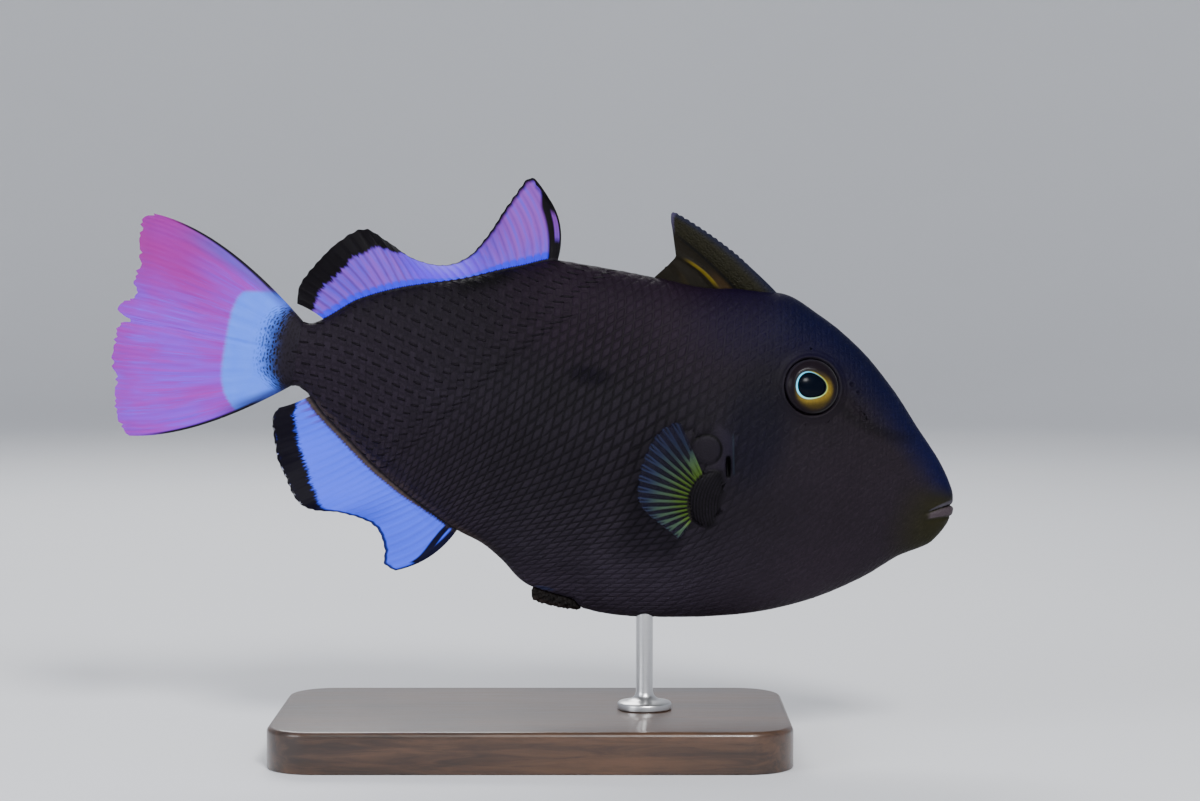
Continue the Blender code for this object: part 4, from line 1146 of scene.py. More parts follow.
def make_coat_paint():
    paint = Paint("scale_paint", roughness=0.5, Specular_IOR_Level=0.08)
    place = paint.place()
    tone, s, side, height = flesh_color(paint, place)
    rim = paint.mark("rim")
    shade = paint.mark("shade")
    ridge = paint.mark("ridge")
    grain = paint.cells(place, 3.2)
    coarse = paint.cells(place, 1.25)
    rear = off_face(paint, s, height)
    rowed = rowed_share(paint, s, height)
    net = net_share(paint, s, height)
    plate = 1 + rear * (0.10 + 0.26 * (shade - 0.5)) - 0.92 * net * rim * (1 - 0.75 * rowed)
    face = (1 - rear) * (coarse - 0.35) * 0.45
    upright = paint.noise(paint.vector(s * 1.3, side * 0.4, height * 0.35), 1.0, 3.0, 0.6)
    plate = plate + rowed * (upright - 0.5) * 1.1
    tone = paint.tint(tone, (plate + face) * (0.82 + 0.33 * grain))
    tone = paint.mix(ridge, tone, (0.0038, 0.0024, 0.0046))
    paint.relief(grain * 0.6 + coarse * (1 - rear), 0.12)
    return paint.finish(Base_Color=tone, Roughness=0.46 + 0.14 * grain + 0.2 * rim * rear)


# Eyes

BALL_NET = (96, 96)
LENS_NET = (48, 24)
PUPIL_RADII = (4.20, 3.55)
PUPIL_SPOT = (-0.9, -0.05)
PUPIL_RING = 1.110
PUPIL_POINT = (0.055, 0.035)

# How the ball dips toward the pupil: depth, start and end in shares of the pupil's radius
PUPIL_DIPS = ((0.30, 1.42, 1.02), (0.9, 1.03, 0.94))
IRIS_RIPPLES = 40
IRIS_RIPPLE_RISE = 0.02

# The lens: how far its middle lies below the ball's front, half its depth, its share of the pupil
LENS_SIZES = (1.95, 1.75, 1.1)


def eye_frame(hand):
    """The eye's center, and its axes: forward along the face, up it, and out of it."""
    mirror = np.array((1.0, hand, 1.0))
    out = EYE_OUT * mirror
    center = EYE_SPOT * mirror - out * EYE_SINK
    forward = np.array((1.0, 0.0, 0.0))
    forward = forward - out * (forward @ out)
    forward /= np.linalg.norm(forward)
    up = np.cross(out, forward) * hand * -1
    if up[2] < 0:
        up = -up
    return center, forward, up, out


def pupil_share(forward, up):
    """1 on the edge of the pupil, which is drawn out to a blunt point at its front."""
    forward, up = forward - PUPIL_SPOT[0], up - PUPIL_SPOT[1]
    angle = np.arctan2(up, forward)
    point = 1 + PUPIL_POINT[0] * np.cos(3 * angle) + PUPIL_POINT[1] * np.cos(angle)
    length, height = PUPIL_RADII
    return np.hypot(forward / length, up / height) / point


def make_eye(side_name, hand, iris, lens):
    """A domed iris with an open pupil, and the dark lens that stands in it."""
    center, forward, up, out = eye_frame(hand)
    bm = bmesh.new()
    bmesh.ops.create_uvsphere(bm, u_segments=BALL_NET[0], v_segments=BALL_NET[1], radius=1.0)
    ball = vertex_spots(bm)
    flat = ball[:, :2] * EYE_RADIUS
    share = pupil_share(flat[:, 0], flat[:, 1])
    front = ball[:, 2] > 0
    depth = ball[:, 2] * EYE_HALF_DEPTH
    dip = sum(deep * ease(start, end, share) for deep, start, end in PUPIL_DIPS)
    ripple = np.sin(np.arctan2(flat[:, 1], flat[:, 0]) * IRIS_RIPPLES) * IRIS_RIPPLE_RISE
    depth = depth + np.where(front, ripple * ease(1.3, 1.6, share) - dip, 0.0)
    lay(bm, center + flat[:, :1] * forward + flat[:, 1:] * up + depth[:, None] * out)
    eye = add_piece(f"eye_{side_name}_ball", bm, iris)
    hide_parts(f"eye_{side_name}")
    mark(eye, "ahead", flat[:, 0])
    mark(eye, "above", flat[:, 1])

    bm = bmesh.new()
    bmesh.ops.create_uvsphere(bm, u_segments=LENS_NET[0], v_segments=LENS_NET[1], radius=1.0)
    ball = vertex_spots(bm)
    sunk, half_depth, wider = LENS_SIZES
    dome = EYE_HALF_DEPTH - sunk + ball[:, 2] * half_depth
    flat = ball[:, :2] * np.array(PUPIL_RADII) * wider + np.array(PUPIL_SPOT)
    lay(bm, center + flat[:, :1] * forward + flat[:, 1:] * up + dome[:, None] * out)
    add_piece(f"eye_{side_name}_lens", bm, lens)


def make_iris_paint():
    paint = Paint("iris_paint", roughness=0.35, Specular_IOR_Level=0.07, Coat_Weight=0.02,
                  Coat_Roughness=0.04)
    ahead, above = paint.mark("ahead"), paint.mark("above")
    radius = (ahead * ahead + above * above) ** 0.5
    fore, raised = ahead - PUPIL_SPOT[0], above - PUPIL_SPOT[1]
    angle = paint.math("ARCTAN2", raised, fore)
    point = (1 + PUPIL_POINT[0] * paint.math("COSINE", angle * 3.0)
             + PUPIL_POINT[1] * paint.math("COSINE", angle))
    long_share, high_share = fore / PUPIL_RADII[0], raised / PUPIL_RADII[1]
    share = ((long_share * long_share + high_share * high_share) ** 0.5) / point
    flecks = paint.noise(paint.vector(ahead, above, 0.0), 1.6, 4.0, 0.7)
    streaks = paint.noise(paint.vector(angle * 6.0, radius * 0.35, 0.0), 1.4, 3.0, 0.6)
    low = paint.ease(-4.5, 4.0, 0 - above + 0.45 * ahead)
    gold = paint.mix(low, (0.009, 0.006, 0.006), (0.125, 0.084, 0.010))
    gold = paint.tint(gold, 1.35 - 1.0 * paint.ease(1.2, 1.75, share))
    gold = paint.mix(flecks * 0.5, gold, (0.024, 0.016, 0.007))
    gold = paint.tint(gold, 0.7 + 0.7 * streaks)
    brown = paint.mix(flecks, (0.0040, 0.0022, 0.0044), (0.0085, 0.0055, 0.0080))
    band = paint.ease(4.7, 6.3, radius + 0.16 * above - 0.06 * ahead + (flecks - 0.5) * 1.0)
    tone = paint.mix(band, gold, brown)
    # Painted light: the ball's outer edge in its upper part is made lighter where it turns away into
    # shade
    edge_fill_light = paint.ease(7.2, 7.8, radius) * paint.ease(-6.0, 1.0, above)
    tone = paint.mix(edge_fill_light, tone, (0.016, 0.013, 0.020))
    # Painted rim light: a pale arc along the ball's edge, strongest at its front
    rim = paint.span(7.30, 7.50, 7.65, 7.85, radius)
    front = paint.ease(0.0, 6.5, ahead)
    tone = paint.mix(rim * (0.06 + 0.7 * front), tone, (0.060, 0.062, 0.060))
    ring_edge = share + 0.055 * paint.math("COSINE", angle) + 0.035 * paint.math("SINE", angle)
    spark = paint.ease(PUPIL_RING + 0.12, PUPIL_RING + 0.03, ring_edge)
    spark = spark * paint.ease(0.2, 1.6, above + 0.7 * ahead) * paint.ease(-3.0, 0.5, ahead)
    tone = paint.mix(spark * 0.8, tone, (0.300, 0.260, 0.010))
    ring = paint.ease(PUPIL_RING + 0.03, PUPIL_RING - 0.04, ring_edge)
    white = paint.mix(paint.ease(-4.0, 4.0, ahead - above * 0.4), (0.12, 0.64, 0.92),
                      (0.42, 0.62, 0.22))
    tone = paint.mix(ring, tone, white)
    tone = paint.mix(paint.ease(1.06, 1.0, share), tone, (0.002, 0.003, 0.008))
    return paint.finish(Base_Color=tone)


def make_lens_paint():
    paint = Paint("lens_paint", roughness=0.20, Specular_IOR_Level=0.05)
    place = paint.place()
    cloud = paint.noise(place, 0.5, 2.0)
    tone = paint.mix(cloud, (0.0006, 0.0014, 0.0040), (0.0014, 0.0030, 0.0080))
    return paint.finish(Base_Color=tone)


# Fins

# The fins' nets: columns for each ray, or in all for the first dorsal fin, and rows
SOFT_NET = (6, 36)
TAIL_NET = (16, 72)
PECTORAL_NET = (12, 40)
SPINE_NET = (144, 110)

ROOT_DEPTH = 1.0

# Each soft fin: its root, its edge (s, height), its bow, its lean out of the middle plane and
# the width of its dark margin, both along the share of the edge
DORSAL_ROOT_S = (126.4, 190.6)
DORSAL_EDGE = (
    (136.5, 70.7), (137.2, 72.0), (138.4, 72.4), (140.4, 70.2), (144.0, 62.4), (148.3, 52.7),
    (153.0, 45.9), (159.8, 42.3), (168.9, 42.8), (176.9, 46.5), (183.9, 49.1), (190.0, 44.5),
    (194.8, 38.0), (199.3, 29.7), (199.2, 24.2))
DORSAL_RAYS = 32
DORSAL_BOW = 6.6
DORSAL_RELIEF = 0.8
DORSAL_LEAN = ((0.0, -1.5), (0.14, 1.5), (0.42, 12.5), (0.56, 10.0), (0.8, -3.0), (1.0, -1.0))
DORSAL_MARGIN = ((0.0, 1.3), (0.08, 0.9), (0.2, 1.0), (0.5, 0.8), (0.56, 1.4), (0.61, 5.0),
                 (0.7, 6.6), (0.9, 6.4), (1.0, 5.2))

ANAL_ROOT_S = (141.8, 190.8)
ANAL_EDGE = (
    (158.1, -48.4), (161.2, -47.0), (161.9, -43.1), (164.0, -38.2), (167.6, -35.3),
    (176.2, -33.5), (186.6, -33.8), (191.0, -30.5), (194.2, -25.9), (197.3, -22.0),
    (199.5, -16.4), (200.9, -9.8), (199.6, -7.0))
ANAL_RAYS = 28
ANAL_BOW = 4.0
ANAL_RELIEF = 0.35
ANAL_LEAN = ((0.0, 1.0), (0.2, 0.0), (0.45, -7.5), (0.7, -3.0), (0.85, 2.0), (1.0, 1.0))
ANAL_MARGIN = ((0.0, 0.7), (0.05, 0.6), (0.3, 0.5), (0.43, 0.5), (0.50, 2.6), (0.58, 5.6),
               (0.8, 7.2), (1.0, 6.4))
BOWED_SHARE = 0.25
REST_BOW = 0.8
LEAN_POWER = 1.4
EDGE_FRAY = 0.012
WEB_WAVE = 0.35

# The fleshy sheath at the root of a soft fin: half its depth and its share of the rays
SHEATH = (0.75, 0.22)

TAIL_ROOT_S = 196.5
TAIL_ROOT_HEIGHTS = (19.3, 0.4)
TAIL_EDGE = (
    (245.3, 42.8), (248.4, 40.6), (248.2, 34.5), (247.2, 28.0), (247.9, 22.6), (246.6, 18.2),
    (250.4, 15.4), (251.0, 12.6), (247.0, 10.7), (250.4, 8.8), (250.6, 3.0), (250.5, -2.0),
    (248.4, -7.5), (247.5, -13.0), (246.4, -17.6), (242.1, -22.8))
TAIL_RAYS = 12
TAIL_TOP_BOW = 8.5
TAIL_BOTTOM_BOW = -6.8
TAIL_BOW_PEAK = 0.64
TAIL_CURL = 2.5
TAIL_RIPPLE = (0.5, 19)
TAIL_FRAYS = 8
TAIL_FRAY_DEPTH = 0.03
TAIL_RELIEF = 0.8
TAIL_LENGTH = 50.0
TAIL_HIDDEN = 3.8

# Where the tail's rays part in two and in four: shares of their length, half width of a ridge
TAIL_BRANCH = (0.35, 0.6)
TAIL_TWIG = (0.65, 0.85)
TAIL_RIDGE_HALF = (0.26, 0.28, 0.3)
TAIL_FLESH_HALF = 3.9
TAIL_FLESH_SHARE = 0.3

PECTORAL_ROOT = (
    (74.2, -2.4), (76.4, -5.6), (77.6, -9.4), (77.6, -12.2), (76.8, -15.2), (75.0, -18.0))
PECTORAL_TIPS = (
    (84.1, 11.2), (87.2, 9.5), (89.7, 6.8), (91.6, 2.0), (92.6, -3.7), (92.6, -8.1),
    (91.6, -12.8), (88.8, -15.9), (85.0, -18.4), (81.0, -20.7), (77.9, -22.6))
PECTORAL_ROOT_SIDE = 19.5
PECTORAL_INSET = 0.04
PECTORAL_CUP = 1.5
PECTORAL_SINK = 0.09
PECTORAL_SCALLOP = 0.035
PECTORAL_RAYS = 14

# Lines up the first dorsal fin: root s, tip s and height, bow, half depth at root and tip
SPINE_LINES = (
    (60.8, 95.6, 69.6, 1.5, 0.90, 0.55),
    (63.2, 96.0, 69.0, 1.5, 2.00, 0.85),
    (66.6, 95.9, 68.0, 1.2, 2.30, 0.90),
    (69.8, 95.6, 66.6, 0.9, 1.70, 0.75),
    (72.4, 94.8, 64.4, 0.6, 0.60, 0.45),
    (74.6, 94.1, 62.2, 0.6, 0.30, 0.26),
    (76.4, 93.2, 59.4, 1.0, 0.34, 0.26),
    (78.2, 92.5, 57.1, 1.4, 0.95, 0.36),
    (80.6, 92.7, 56.5, 1.1, 0.34, 0.26),
    (84.0, 93.1, 55.8, 0.8, 0.30, 0.26),
    (87.6, 93.6, 55.1, 0.5, 0.75, 0.34),
    (92.0, 94.1, 54.3, 0.2, 0.32, 0.26),
    (98.0, 94.8, 53.3, -0.1, 0.30, 0.26))
SPINE_TEETH = 20
SPINE_TOOTH_RISE = 0.35
SPINE_TOOTH_WAY = (-0.44, 0.90)
SPINE_ROOT_DEPTH = 0.9
SPINE_GRAIN_RISE = 0.13
SPINE_FRONT_RISE = 0.3
SPINE_WEB_FOLD = (0.45, 30)

# Half the depth of a ray and of the membrane, at the root and at the edge
RAY_HALF = (0.72, 0.30)
MEMBRANE_HALF = (0.24, 0.16)


def off_outline(line_at, s, distance):
    """Points of the side view at a distance above the back line or below the belly line."""
    step = 0.5
    slope = (line_at(s + step) - line_at(s - step)) / (2 * step)
    upright = unit(np.stack((-slope, np.ones_like(slope)), axis=1))
    return np.stack((s, line_at(s)), axis=1) + upright * distance


def bowed(root, tip, bow, v, peak=0.5):
    """Points at share v of rays that bow to the left of their own direction, most at a peak."""
    chord = tip - root
    sideways = unit(np.stack((-chord[:, 1], chord[:, 0]), axis=1))
    control = root + chord * peak + sideways * bow[:, None]
    v = v[:, None]
    return root * (1 - v) ** 2 + control * (2 * v * (1 - v)) + tip * v ** 2


def fin_piece(name, columns, rows, middle, half, material, slot):
    """A closed fin: a grid on the middle surface, thickened to both sides by half its depth.

    Its vertices carry u across the rays, v outward, and their run in millimetres from the
    root and to the edge.
    """
    bm = flat_grid(columns, rows)
    copied = bmesh.ops.extrude_face_region(bm, geom=bm.faces[:], use_keep_orig=True)
    far_side = {item for item in copied["geom"] if isinstance(item, bmesh.types.BMVert)}
    sign = np.array([1.0 if vert in far_side else -1.0 for vert in bm.verts])
    u, v = flat_places(bm)
    step = 0.004
    along = middle(np.minimum(u + step, 1.0), v) - middle(np.maximum(u - step, 0.0), v)
    out = middle(u, np.minimum(v + step, 1.0)) - middle(u, np.maximum(v - step, 0.0))
    normal = unit(np.cross(along, out))
    lay(bm, middle(u, v) + normal * (sign * half(u, v))[:, None])
    piece = add_piece(name, bm, material, crease_deg=70.0)
    length = np.linalg.norm(middle(u, np.ones_like(v)) - middle(u, np.zeros_like(v)), axis=1)
    mark(piece, "u", u)
    mark(piece, "v", v)
    mark(piece, "from_root", v * length)
    mark(piece, "to_edge", (1 - v) * length)
    return piece


def ray_ridge(u, v, rays, split_from=1.0, spread=0.0, half=0.2):
    """1 on the crest of each ray, 0 between rays; past split_from each ray parts in two."""
    across = (u * rays) % 1.0 - 0.5
    apart = spread * ease(split_from, 1.0, v) if split_from < 1.0 else 0.0
    narrow = half * (1 - 0.35 * v)
    return np.exp(-((np.abs(across) - apart) / narrow) ** 2)


def thickness(ridge, v, swell=0.0):
    """Half the depth of a fin: rays stand out of the membrane, both thinning to the edge."""
    ray = RAY_HALF[0] + (RAY_HALF[1] - RAY_HALF[0]) * v
    membrane = MEMBRANE_HALF[0] + (MEMBRANE_HALF[1] - MEMBRANE_HALF[0]) * v
    return membrane + (ray - membrane) * ridge + swell


def make_soft_fin(name, line_at, up, root_s, edge_points, lean, rays, bow, relief, margin,
                  material):
    """A fin on the back (up is 1) or the belly (up is -1) that leans to the sides in waves."""
    edge = smooth_path(edge_points)
    lean_at = smooth_line(lean)
    start, end = root_s
    rng = np.random.default_rng(rays)
    ragged = rng.uniform(0.0, 1.0, 2 * rays + 2)

    def middle(u, v):
        root = off_outline(line_at, start + (end - start) * u, -up * ROOT_DEPTH)
        front = np.maximum(1 - u / BOWED_SHARE, 0.0) ** 1.5
        fray = np.interp(u * 2 * rays, np.arange(len(ragged)), ragged)
        reach = v * (1 - EDGE_FRAY * fray - EDGE_FRAY * ray_gap(u, rays) * v)
        spot = bowed(root, edge(u), up * (bow * front + REST_BOW), reach)
        wave = WEB_WAVE * np.sin(u * rays * 0.9) * v
        return np.stack((-spot[:, 0], lean_at(u) * v ** LEAN_POWER + wave, spot[:, 1]), axis=1)

    def half(u, v):
        depth, share = SHEATH
        sheath = depth * np.maximum(1 - v / share, 0.0)
        return thickness(ray_ridge(u, v, rays) * relief, v, sheath)

    columns, rows = SOFT_NET
    piece = fin_piece(f"{name}_web", rays * columns, rows, middle, half, material, "pale_fins")
    u = np.zeros(len(piece.data.vertices), dtype=np.float32)
    piece.data.attributes["u"].data.foreach_get("value", u)
    mark(piece, "margin", smooth_line(margin)(u))
    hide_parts(f"{name}_fin")


def ray_gap(u, rays):
    """1 midway between rays, 0 on them."""
    return np.cos(u * rays * math.tau) * 0.5 + 0.5


def clear_of_stalk(v):
    """0 on the part of the tail fin that is inside the tail stalk, rising to 1 at its edge."""
    free_length = TAIL_LENGTH - TAIL_HIDDEN
    return np.clip((v * TAIL_LENGTH - TAIL_HIDDEN) / free_length, 0.0, 1.0)


def make_tail_fin(material):
    edge = smooth_path(TAIL_EDGE)
    top, bottom = TAIL_ROOT_HEIGHTS
    rng = np.random.default_rng(12)
    frays = TAIL_RAYS * TAIL_FRAYS
    ragged = rng.uniform(0.0, 1.0, frays + 1) ** 2
    ripple_rise, ripple_turns = TAIL_RIPPLE

    def middle(u, v):
        root = np.stack((np.full_like(u, TAIL_ROOT_S), top + (bottom - top) * u), axis=1)
        above, below = np.maximum(1 - 2 * u, 0.0), np.maximum(2 * u - 1, 0.0)
        bow = TAIL_TOP_BOW * above ** 1.5 + TAIL_BOTTOM_BOW * below ** 1.5
        fray = TAIL_FRAY_DEPTH * np.interp(u * frays, np.arange(len(ragged)), ragged)
        spot = bowed(root, edge(u), bow, v * (1 - fray * v ** 4), TAIL_BOW_PEAK)
        plain = clear_of_stalk(v)
        ripple = ripple_rise * np.sin(u * ripple_turns) * v ** 2
        curl = TAIL_CURL * np.sin(plain * math.pi / 2) * plain + ripple
        return np.stack((-spot[:, 0], curl, spot[:, 1]), axis=1)

    def half(u, v):
        oval = np.maximum(1 - np.abs(2 * u - 1) ** 2.2, 0.0) ** 0.45
        sleeve = np.maximum(1 - clear_of_stalk(v) / TAIL_FLESH_SHARE, 0.0)
        flesh = TAIL_FLESH_HALF * oval * sleeve ** 1.5
        branch, twig = ease(*TAIL_BRANCH, v), ease(*TAIL_TWIG, v)
        stages = (1 - branch, branch * (1 - twig), twig)
        ridge = sum(ray_ridge(u, v, TAIL_RAYS * 2 ** parted, half=ridge_half) * shown
                    for parted, (ridge_half, shown) in enumerate(zip(TAIL_RIDGE_HALF, stages)))
        return thickness(ridge * TAIL_RELIEF * ease(0.10, 0.45, v), v, flesh)

    columns, rows = TAIL_RAYS * TAIL_NET[0], TAIL_NET[1]
    piece = fin_piece("tail_fin_web", columns, rows, middle, half, material, "pink_tail")
    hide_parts("tail_fin")


def make_pectoral(side_name, hand, material):
    root_path, tip_path = smooth_path(PECTORAL_ROOT), smooth_path(PECTORAL_TIPS)
    spread = math.tan(math.radians(PECTORAL_OUT_DEG))

    def middle(u, v):
        root = root_path(PECTORAL_INSET + (1 - 2 * PECTORAL_INSET) * u)
        tip = tip_path(u)
        scallop = PECTORAL_SCALLOP * ray_gap(u, PECTORAL_RAYS) * v
        reach = (v * (1 + PECTORAL_SINK) - PECTORAL_SINK) * (1 - scallop)
        spot = root + (tip - root) * reach[:, None]
        side = PECTORAL_ROOT_SIDE + (spot[:, 0] - root[:, 0]) * spread
        side = side - PECTORAL_CUP * v * v
        return np.stack((-spot[:, 0], hand * side, spot[:, 1]), axis=1)

    def half(u, v):
        return thickness(ray_ridge(u, v, PECTORAL_RAYS, 0.5, 0.22, 0.2), v)

    name = f"pectoral_{side_name}_web"
    columns, rows = PECTORAL_RAYS * PECTORAL_NET[0], PECTORAL_NET[1]
    piece = fin_piece(name, columns, rows, middle, half, material, "pectoral_rays")
    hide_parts(f"pectoral_fin_{side_name}")


def make_first_dorsal(material):
    """The stout first spine with its rough front, two short spines and the web behind it."""
    lines = np.array(SPINE_LINES)
    numbers = np.arange(len(lines))
    fold_rise, fold_turns = SPINE_WEB_FOLD

    def values_at(u):
        return [np.interp(u * numbers[-1], numbers, lines[:, column]) for column in range(6)]

    def middle(u, v):
        root_s, tip_s, tip_height, bow, root_half, tip_half = values_at(u)
        root = off_outline(back_at, root_s, -SPINE_ROOT_DEPTH)
        spot = bowed(root, np.stack((tip_s, tip_height), axis=1), 2 * bow, v)
        teeth = np.abs(np.sin(v * SPINE_TEETH * math.pi)) * ease(0.25, 0.45, v)
        teeth = SPINE_TOOTH_RISE * teeth * ease(1.0, 0.96, v) * ease(0.06, 0.0, u)
        spot = spot + teeth[:, None] * np.array(SPINE_TOOTH_WAY)
        fold = fold_rise * np.sin(u * fold_turns) * ease(0.35, 0.6, u) * v * (1 - v)
        return np.stack((-spot[:, 0], fold, spot[:, 1]), axis=1)

    def half(u, v):
        root_s, tip_s, tip_height, bow, root_half, tip_half = values_at(u)
        depth = root_half + (tip_half - root_half) * v
        spine = ease(0.36, 0.28, u)
        grains = np.sin(u * 95 + 3 * np.sin(v * 40)) * np.sin(v * 105 + 2 * np.sin(u * 60))
        teeth = np.maximum(np.sin(v * 120 + 1.7 * np.sin(v * 31)), 0.0) * ease(0.10, 0.02, u)
        rough = SPINE_GRAIN_RISE * grains + SPINE_FRONT_RISE * teeth
        return depth + spine * rough * (1 - 0.5 * v)

    piece = fin_piece("first_dorsal_web", *SPINE_NET, middle, half, material, "spine_skin")
    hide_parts("spiny_dorsal_fin")


# Materials of the fins

TAIL_PINK = (0.285, 0.020, 0.420)
TAIL_VIOLET = (0.215, 0.026, 0.680)
TAIL_LAVENDER = (0.140, 0.045, 0.900)
TAIL_HOT = (0.350, 0.014, 0.360)
TAIL_ROSE = (0.275, 0.014, 0.210)
ICY_LIGHT = (0.090, 0.230, 1.000)
PERIWINKLE = (0.050, 0.096, 1.000)
PINK_VIOLET = (0.190, 0.052, 0.500)
PALE_VIOLET = (0.105, 0.045, 0.620)
DIP_VIOLET = (0.088, 0.012, 0.820)
BLUSH = (0.230, 0.050, 0.400)
MAUVE = (0.095, 0.032, 0.230)
BASE_BLUE = (0.014, 0.010, 0.750)
FIN_BLACK = (0.0014, 0.0007, 0.0020)


def margin_mask(paint, strokes):
    """The dark edge of a fin, whose inner side frays along the rays."""
    fray = paint.noise(strokes, 1.0, 2.0, 0.7)
    margin = paint.mark("margin")
    inner = paint.mark("to_edge") - margin + (fray - 0.5) * margin * 0.75
    return paint.ease(0.8, -0.7, inner)


def make_dorsal_paint():
    paint = Paint("dorsal_paint", roughness=0.6, Specular_IOR_Level=0.1)
    u, v = paint.mark("u"), paint.mark("v")
    from_root = paint.mark("from_root")
    across = paint.off_middle(u * DORSAL_RAYS)
    on_ray = paint.ease(0.21, 0.05, across)
    strokes = paint.vector(u * DORSAL_RAYS * 2.2, v * 2.2, 0.0)
    streak = paint.noise(strokes, 0.7, 3.0)
    web = paint.mix(paint.ease(0.35, 0.65, streak), PALE_VIOLET, PINK_VIOLET)
    blush = paint.ease(0.30, 0.15, u) * paint.ease(0.10, 0.50, v)
    beside = paint.ease(0.44, 0.24, across)
    web = paint.mix(blush * (0.20 + 0.65 * beside), web, BLUSH)
    rear = paint.ease(0.35, 0.65, u)
    web = paint.mix(on_ray * (0.35 + 0.25 * rear), web, MAUVE)
    dip = paint.span(0.26, 0.40, 0.52, 0.66, u)
    web = paint.mix(dip * 0.92, web, DIP_VIOLET)
    base = paint.ease(3.8, 2.5, from_root + 0.6 * on_ray)
    web = paint.mix(base, web, BASE_BLUE)
    body_edge = paint.ease(1.45, 1.15, from_root + 0.3 * paint.part(u * 96))
    black = margin_mask(paint, strokes)
    lead = paint.ease(0.054, 0.042, u + 0.036 * paint.ease(0.60, 1.0, v))
    window = paint.ease(0.012, 0.006, paint.size(u - 0.016)) * paint.span(0.20, 0.30, 0.50, 0.62, v)
    black = paint.least(black + lead * (1 - 0.8 * window), 1.0)
    tone = paint.mix(black, web, FIN_BLACK)
    tone = paint.mix(body_edge, tone, DARK)
    solid = paint.most(paint.most(black, body_edge), paint.most(base, dip))
    alpha = 0.90 + 0.10 * paint.most(solid, on_ray * 0.6)
    bands = paint.part(v * 30.0)
    paint.relief(bands * on_ray + paint.noise(strokes, 3.0, 3.0) * 0.5, 0.06)
    return paint.finish(Base_Color=tone, Alpha=alpha)


def make_anal_paint():
    paint = Paint("anal_paint", roughness=0.6, Specular_IOR_Level=0.1)
    u, v = paint.mark("u"), paint.mark("v")
    from_root = paint.mark("from_root")
    to_edge = paint.mark("to_edge")
    on_ray = paint.ease(0.30, 0.08, paint.off_middle(u * ANAL_RAYS))
    strokes = paint.vector(u * ANAL_RAYS * 4.4, v * 7.0, 0.0)
    web = paint.mix(on_ray * 0.28, PERIWINKLE, (0.060, 0.085, 0.700))
    mottle = paint.noise(paint.vector(u * 40.0, v * 16.0, 0.0), 1.6, 4.0, 0.7)
    black = margin_mask(paint, strokes)
    line = paint.ease(1.20, 0.60, to_edge)
    black = paint.most(black, line * 0.9)
    rear = paint.ease(0.42, 0.52, u)
    holes = paint.ease(0.58, 0.70, mottle) * paint.ease(1.3, 0.4, to_edge) * rear
    black = black * (1 - 0.7 * holes)
    reach = paint.ease(0.10, 0.75, v)
    loop = paint.ease(0.018, 0.010, paint.size(u - 0.052 + 0.046 * reach))
    loop = loop * paint.ease(0.78, 0.70, v)
    lead = paint.ease(0.034, 0.022, u + 0.020 * paint.ease(0.45, 0.8, v))
    bridge = paint.ease(0.05, 0.04, u) * paint.ease(0.045, 0.02, paint.size(v - 0.30))
    front = paint.most(paint.most(loop, lead), bridge * paint.ease(0.40, 0.55, mottle))
    black = paint.most(black, front)
    frayed = from_root + 0.4 * paint.part(u * 61.0) + (mottle - 0.5) * 1.2
    sheath = paint.ease(3.5, 2.5, frayed + 1.4 * paint.ease(0.40, 0.10, u))
    ticks = paint.ease(7.5, 3.0, from_root) * on_ray * paint.ease(0.80, 0.92, u)
    edge_tone = paint.mix(rear, (0.0020, 0.0018, 0.0160), (0.0012, 0.0004, 0.0040))
    tone = paint.mix(ticks * 0.6, web, (0.12, 0.03, 0.05))
    tone = paint.mix(black, tone, edge_tone)
    skin = paint.mix(mottle, (0.026, 0.018, 0.017), (0.066, 0.047, 0.043))
    skin = paint.mix(paint.ease(1.8, 1.0, from_root), skin, DARK)
    tone = paint.mix(sheath, tone, skin)
    solid = paint.most(black, sheath)
    cut = paint.ease(0.50, 0.60, mottle) * paint.ease(0.8, 0.1, to_edge) * rear
    alpha = 0.95 + 0.03 * on_ray + 0.05 * solid - 0.9 * cut
    paint.relief(on_ray * 0.3 + mottle * 0.7, 0.08)
    return paint.finish(Base_Color=tone, Alpha=paint.least(alpha, 1.0))


